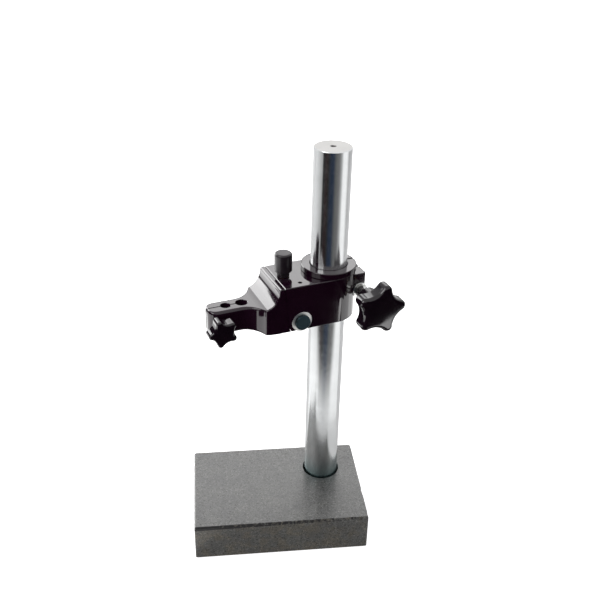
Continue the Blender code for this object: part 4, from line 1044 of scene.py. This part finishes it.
# %% Spring
def make_spring(mean, wire, low, high, turns, sides=14, per_turn=40):
    """Coil spring from the ground end turns up, its pitch eased in by a smoothed ramp."""
    share = np.linspace(0, 1, turns * per_turn + 1)
    ramp_share = share - np.sin(2 * np.pi * share) / (2 * np.pi) * 0.55
    angle = 2 * np.pi * turns * share
    rise = low + (high - low) * ramp_share
    centre = np.stack([mean * np.cos(angle), mean * np.sin(angle), rise], axis=-1)
    along = np.gradient(centre, axis=0)
    along /= np.linalg.norm(along, axis=-1, keepdims=True)
    radial = np.stack([np.cos(angle), np.sin(angle), np.zeros_like(angle)], axis=-1)
    binormal = np.cross(along, radial)
    around = np.linspace(0, 2 * np.pi, sides, endpoint=False)[None, :, None]
    tube = centre[:, None] + wire * (np.cos(around) * radial[:, None] + np.sin(around) * binormal[:, None])
    return piece_from_rings("return_spring_wire", on_arm(tube + np.array([SPRING_U, 0, 0])))


spring = make_spring(0.00275, 0.00045, 0.01895, 0.03225, 7)
dressed(shade(spring, 50), WIRE, "arm", ["return_spring"])

# %% [markdown]
# ## Plain parts that stay
# The bolt, its washer, the bushes, inserts, pad and screws are kept from the working model, because
# they sit inside. They still get metal finishes, so a section view shows what they are.

# %% Finishes for the kept parts
KEPT = {"column_bolt": STEEL, "column_washer": STEEL, "pin_lock_screw": STEEL, "fine_adjust_screw": STEEL,
        "screw_pad": STEEL, "pivot_bush": BRONZE, "fine_adjust_bush": BRONZE, "column_clamp_insert": BRONZE,
        "stem_clamp_insert": BRONZE}
for name, finish in KEPT.items():
    kept = bpy.data.objects[name]
    kept.data.materials.clear()
    kept.data.materials.append(finish)
print("kept parts:", len(KEPT))

# %% [markdown]
# ## Camera
# The lens was matched to the picture from the block's corners, the column's sides and its top.

# %% Camera
eye = bpy.data.cameras.new("eye")
eye.lens = 49.47
eye.sensor_width = 36
camera = bpy.data.objects.new("camera", eye)
camera.location = (-0.0535, -0.5728, 0.5429)
camera.rotation_euler = [math.radians(turn) for turn in (61.0997, -1.1186, -6.3898)]
bpy.context.scene.collection.objects.link(camera)
bpy.context.scene.camera = camera

# %% [markdown]
# ## White room
# The stand is pictured on plain white. The floor is a matt sheet that looks white to the camera and
# in mirrors, and still takes the soft shadow: its colour for other rays is a plain grey-white. The sky
# is white to the camera and dimmer for lighting, so the lamps shape the piece.

# %% Floor and sky
def on_path(tree, paths):
    """1 where a ray is one of the given kinds, else 0."""
    light = tree.nodes.new("ShaderNodeLightPath")
    total = light.outputs[paths[0]]
    for path in paths[1:]:
        total = maths(tree, "MAXIMUM", total, light.outputs[path])
    return total


def room(level, glow):
    """World: white for camera rays, one level for mirrors and another for diffuse light."""
    world = bpy.data.worlds.new("room")
    world.use_nodes = True
    tree = world.node_tree
    back = tree.nodes["Background"]
    seen = on_path(tree, ["Is Camera Ray", "Is Transmission Ray"])
    gleam = on_path(tree, ["Is Glossy Ray"])
    soft = maths(tree, "ADD", level, maths(tree, "MULTIPLY", gleam, glow - level))
    strength = maths(tree, "ADD", soft, maths(tree, "MULTIPLY", seen, maths(tree, "SUBTRACT", 1.0, soft)))
    tree.links.new(strength, back.inputs["Strength"])
    back.inputs["Color"].default_value = (1, 1, 1, 1)
    bpy.context.scene.world = world


room(0.30, 0.85)


def floor_finish():
    """Matt white sheet. To the camera it also glows, so its shadow stays faint; mirrors see a paler grey than other
    rays.
    """
    made, tree, shader = new_finish("white_sheet")
    point = object_point(tree)
    paper = ramp(tree, noise(tree, point, 30.0, 3.0), [(0.2, 0.93), (0.8, 0.96)])
    mirrored = ramp(tree, noise(tree, point, 30.0, 3.0), [(0.2, 0.70), (0.8, 0.74)])
    dull = ramp(tree, noise(tree, point, 30.0, 3.0), [(0.2, 0.46), (0.8, 0.48)])
    shown = on_path(tree, ["Is Camera Ray", "Is Transmission Ray"])
    tone = blend(tree, on_path(tree, ["Is Glossy Ray"]), dull, mirrored)
    tree.links.new(blend(tree, shown, tone, paper), shader.inputs["Base Color"])
    shader.inputs["Roughness"].default_value = 0.9
    shader.inputs["Emission Color"].default_value = (1, 1, 1, 1)
    tree.links.new(maths(tree, "MULTIPLY", shown, 0.85), shader.inputs["Emission Strength"])
    return made


def staged_sheet(name, points, material):
    """A staged sheet over a grid of points, shaped (rows, columns, 3)."""
    rows, columns, _ = points.shape
    faces = ring_faces(rows, columns, False).reshape(rows - 1, columns, 4)[:, :-1].reshape(-1, 4)
    mesh = bpy.data.meshes.new(name)
    mesh.from_pydata(points.reshape(-1, 3).tolist(), [], faces.tolist())
    piece = bpy.data.objects.new(name, mesh)
    piece.data.materials.append(material)
    bpy.context.scene.collection.objects.link(piece)
    return piece


floor_points = np.array([[(-3, -3, 0), (3, -3, 0)], [(-3, 3, 0), (3, 3, 0)]], float)
floor = staged_sheet("floor", floor_points, floor_finish())

# %% [markdown]
# ## What the chrome sees
# A polished bar on white paper would vanish. Photographers stand dark and grey cards round it, and
# their reflections become the long stripes. Here one bent screen stands in front of the column with
# tones that change round it. It is seen in mirrors alone, so it neither shades the stand nor hides it.
# The enamelled and moulded pieces don't see it either, so their sides stay deep black.

# %% Mirror screen
SCREEN_TURN = math.atan2(-0.5925, -0.0955)
DARK_RED = (0.016, 0.006, 0.007)
DARK_BLUE = (0.018, 0.026, 0.048)
MID_BLUE = (0.022, 0.034, 0.058)
STRIPES = [(-150, 0.90), (-127, 0.69), (-95, 0.38), (-71, 0.13), (-52, 0.012), (-32, DARK_RED),
           (-20, 0.020), (-8, DARK_BLUE), (8, MID_BLUE), (22, 0.11), (43, 0.17), (56, 0.45),
           (66, 0.95), (90, 1.05), (104, 0.42), (125, 0.80)]
NEAR_GLOW = [(-90, 1.14), (-40, 1.08), (10, 0.92), (60, 1.02), (90, 0.96)]
NEAR_EDGE = [(-90, 0.31), (-60, 0.30), (-30, 0.17), (0, 0.15), (35, 0.16), (60, 0.27), (90, 0.30)]


def screen_finish():
    """Glow by the angle round the column, fading to white towards its foot."""
    made, tree, shader = new_finish("mirror_screen")
    place = add_node(tree, "ShaderNodeMapping", Vector=object_point(tree))
    place.vector_type = "TEXTURE"
    place.inputs["Location"].default_value = COLUMN_PLACE
    place.inputs["Rotation"].default_value = (0, 0, SCREEN_TURN)
    split = add_node(tree, "ShaderNodeSeparateXYZ", Vector=place.outputs[0])
    x, y = split.outputs["X"], split.outputs["Y"]
    share = span(tree, maths(tree, "ARCTAN2", y, x), -math.pi, math.pi, 0.0, 1.0)
    stripes = ramp(tree, share, [(0.5 + turn / 360, tone) for turn, tone in STRIPES])
    near = ramp(tree, share, [(0.5 + turn / 360, reach) for turn, reach in NEAR_EDGE])
    away = maths(tree, "SQRT",
                 maths(tree, "ADD", maths(tree, "MULTIPLY", x, x), maths(tree, "MULTIPLY", y, y)))
    fade = span(tree, maths(tree, "SUBTRACT", away, near), 0.0, 0.09, 0.0, 1.0)
    sheet = ramp(tree, share, [(0.5 + turn / 360, tone) for turn, tone in NEAR_GLOW])
    glow = blend(tree, fade, sheet, stripes)
    shader.inputs["Base Color"].default_value = (0, 0, 0, 1)
    shader.inputs["Specular IOR Level"].default_value = 0.0
    tree.links.new(glow, shader.inputs["Emission Color"])
    shader.inputs["Emission Strength"].default_value = 1.0
    return made


def make_screen():
    """A sector of a turned sheet: flat near the foot, then bent upright 0.36 m from the column."""
    profile = rounded([(0.14, 0.002, 0), (0.36, 0.002, 0.03), (0.36, 0.40, 0)], 8)
    turn = SCREEN_TURN + np.radians(np.linspace(-112, 104, 120))
    points = np.stack([profile[:, :1] * np.cos(turn), profile[:, :1] * np.sin(turn),
                       np.broadcast_to(profile[:, 1:], (len(profile), len(turn)))], axis=-1)
    screen = staged_sheet("mirror_screen", on_column(points), screen_finish())
    return mirrored_only(screen)


def mirrored_only(card):
    """Let reflections alone see a card, so it neither lights, shades nor hides the stand."""
    card.visible_camera = False
    card.visible_diffuse = False
    card.visible_transmission = False
    card.visible_shadow = False
    return card


def unseen_by(card, name, pieces):
    """Light linking: the card gives its light to all pieces but these."""
    group = bpy.data.collections.get(name) or bpy.data.collections.new(name)
    for piece in pieces:
        if piece.name not in group.objects:
            group.objects.link(piece)
            group.collection_objects[len(group.objects) - 1].light_linking.link_state = "EXCLUDE"
    card.light_linking.receiver_collection = group
    return card


screen = unseen_by(make_screen(), "dull_to_screen",
                   [casting, tilting_nose, bush, fine_knob, large_star, small_star])

# %% [markdown]
# ## Bright cards for the enamel
# Black gloss returns only a twentieth of what it sees, so its highlights need bright cards. One stands
# far behind at the left for the hollow slope and one behind for the arm's top. Two bent ones lie low
# round the column for the arm's side and the hub, one stands at the left for the nose, and a small
# one low at the right is for the large star knob. Light linking keeps them all from the chrome, which
# would show them as burnt patches.


# %% Bright cards
def glow_finish(name, strength):
    """A clear card with a glow, a little uneven as cloth over a lamp is."""
    made, tree, _ = new_finish(name)
    uneven = ramp(tree, noise(tree, object_point(tree), 3.0, 2.0), [(0.3, 0.9), (0.7, 1.0)])
    glow = add_node(tree, "ShaderNodeEmission", Color=uneven, Strength=strength)
    clear = add_node(tree, "ShaderNodeBsdfTransparent")
    both = tree.nodes.new("ShaderNodeAddShader")
    tree.links.new(glow.outputs[0], both.inputs[0])
    tree.links.new(clear.outputs[0], both.inputs[1])
    tree.links.new(both.outputs[0], tree.nodes["Material Output"].inputs["Surface"])
    return made


def glowing(card):
    """A card that only gloss sees, and not the chrome, which would mirror it as a burnt patch."""
    return unseen_by(mirrored_only(card), "dull_to_cards", [column])


def bright_card(name, corners, strength):
    """A card through two lower and two upper corners."""
    return glowing(staged_sheet(name, np.array(corners, float), glow_finish(name, strength)))


CARD_BACK = 1.2
CARD_TOP = 1.25
bright_card("slope_card", [[(-2.0, CARD_BACK, 0.20), (-0.50, CARD_BACK, 0.30)],
                           [(-2.0, CARD_BACK, CARD_TOP), (-0.50, CARD_BACK, CARD_TOP)]], 7.0)
bright_card("top_card", [[(-0.50, CARD_BACK, 0.80), (0.75, CARD_BACK, 0.80)],
                         [(-0.50, CARD_BACK, CARD_TOP), (0.75, CARD_BACK, CARD_TOP)]], 2.4)


def seen_in_star(a, w, reach=1.45):
    """Where a ray from the eye lands that the star's face returns at a to the right and w up."""
    face = np.array([0.079, -0.0262, 0.2255]) + a * -ARM_AXES[0] + w * ARM_AXES[2]
    image = np.array([-0.3361, 0.3528, 0.5429])
    return tuple(image + reach * (face - image))


def curved_card(name, radius, start, end, low, high, strength):
    """A bright card bent round the column between two angles from the screen's middle."""
    turn = SCREEN_TURN + np.radians(np.linspace(start, end, 24))
    row = np.column_stack([radius * np.cos(turn), radius * np.sin(turn)])
    points = np.stack([np.column_stack([row, np.full(24, height)]) for height in (low, high)])
    return glowing(staged_sheet(name, on_column(points), glow_finish(name, strength)))


curved_card("low_card", 0.33, 64, 118, 0.003, 0.066, 2.0)
curved_card("hub_card", 0.33, 118, 168, 0.003, 0.07, 1.2)
bright_card("star_card", [[seen_in_star(-0.013, -0.050), seen_in_star(0.034, -0.030)],
                          [seen_in_star(-0.013, -0.0170), seen_in_star(0.034, 0.0065)]], 4.0)
bright_card("left_card", [[(-0.22, -0.40, 0.003), (-0.22, 0.35, 0.003)],
                          [(-0.22, -0.40, 0.20), (-0.22, 0.35, 0.20)]], 2.3)


# %% [markdown]
# ## Lamps
# One broad soft lamp above and behind makes the top of the stone pale and its front dark. Reflections
# don't show it, so it burns no patch in the chrome. A weaker one at the left front fills the shadows.
# Both are large, so the edges of the shadows stay soft.

# %% Lamps
def lamp(name, place, aim, size, power, colour=(1.0, 1.0, 1.0)):
    """A rectangular lamp that looks from its place at an aim point."""
    light = bpy.data.lights.new(name, "AREA")
    light.shape = "RECTANGLE"
    light.size, light.size_y = size
    light.energy = power
    light.color = colour
    piece = bpy.data.objects.new(name, light)
    place, aim = np.array(place, float), np.array(aim, float)
    back = (place - aim) / np.linalg.norm(place - aim)
    side = np.cross((0, 0, 1), back)
    side /= np.linalg.norm(side)
    up = np.cross(back, side)
    axes = np.column_stack([side, up, back, place])
    piece.matrix_world = Matrix([*axes.tolist(), [0, 0, 0, 1]])
    bpy.context.scene.collection.objects.link(piece)
    return piece


window = lamp("window", (0.0, 1.25, 0.95), (0.02, 0.0, 0.10), (1.5, 0.9), 16.0)
window.visible_glossy = False
lamp("fill", (-0.75, -0.45, 0.95), (0, 0, 0.12), (0.7, 0.7), 5.6)

# %% [markdown]
# ## Colour
# The standard view keeps white at white.

# %% Finish
bpy.context.scene.view_settings.view_transform = "Standard"
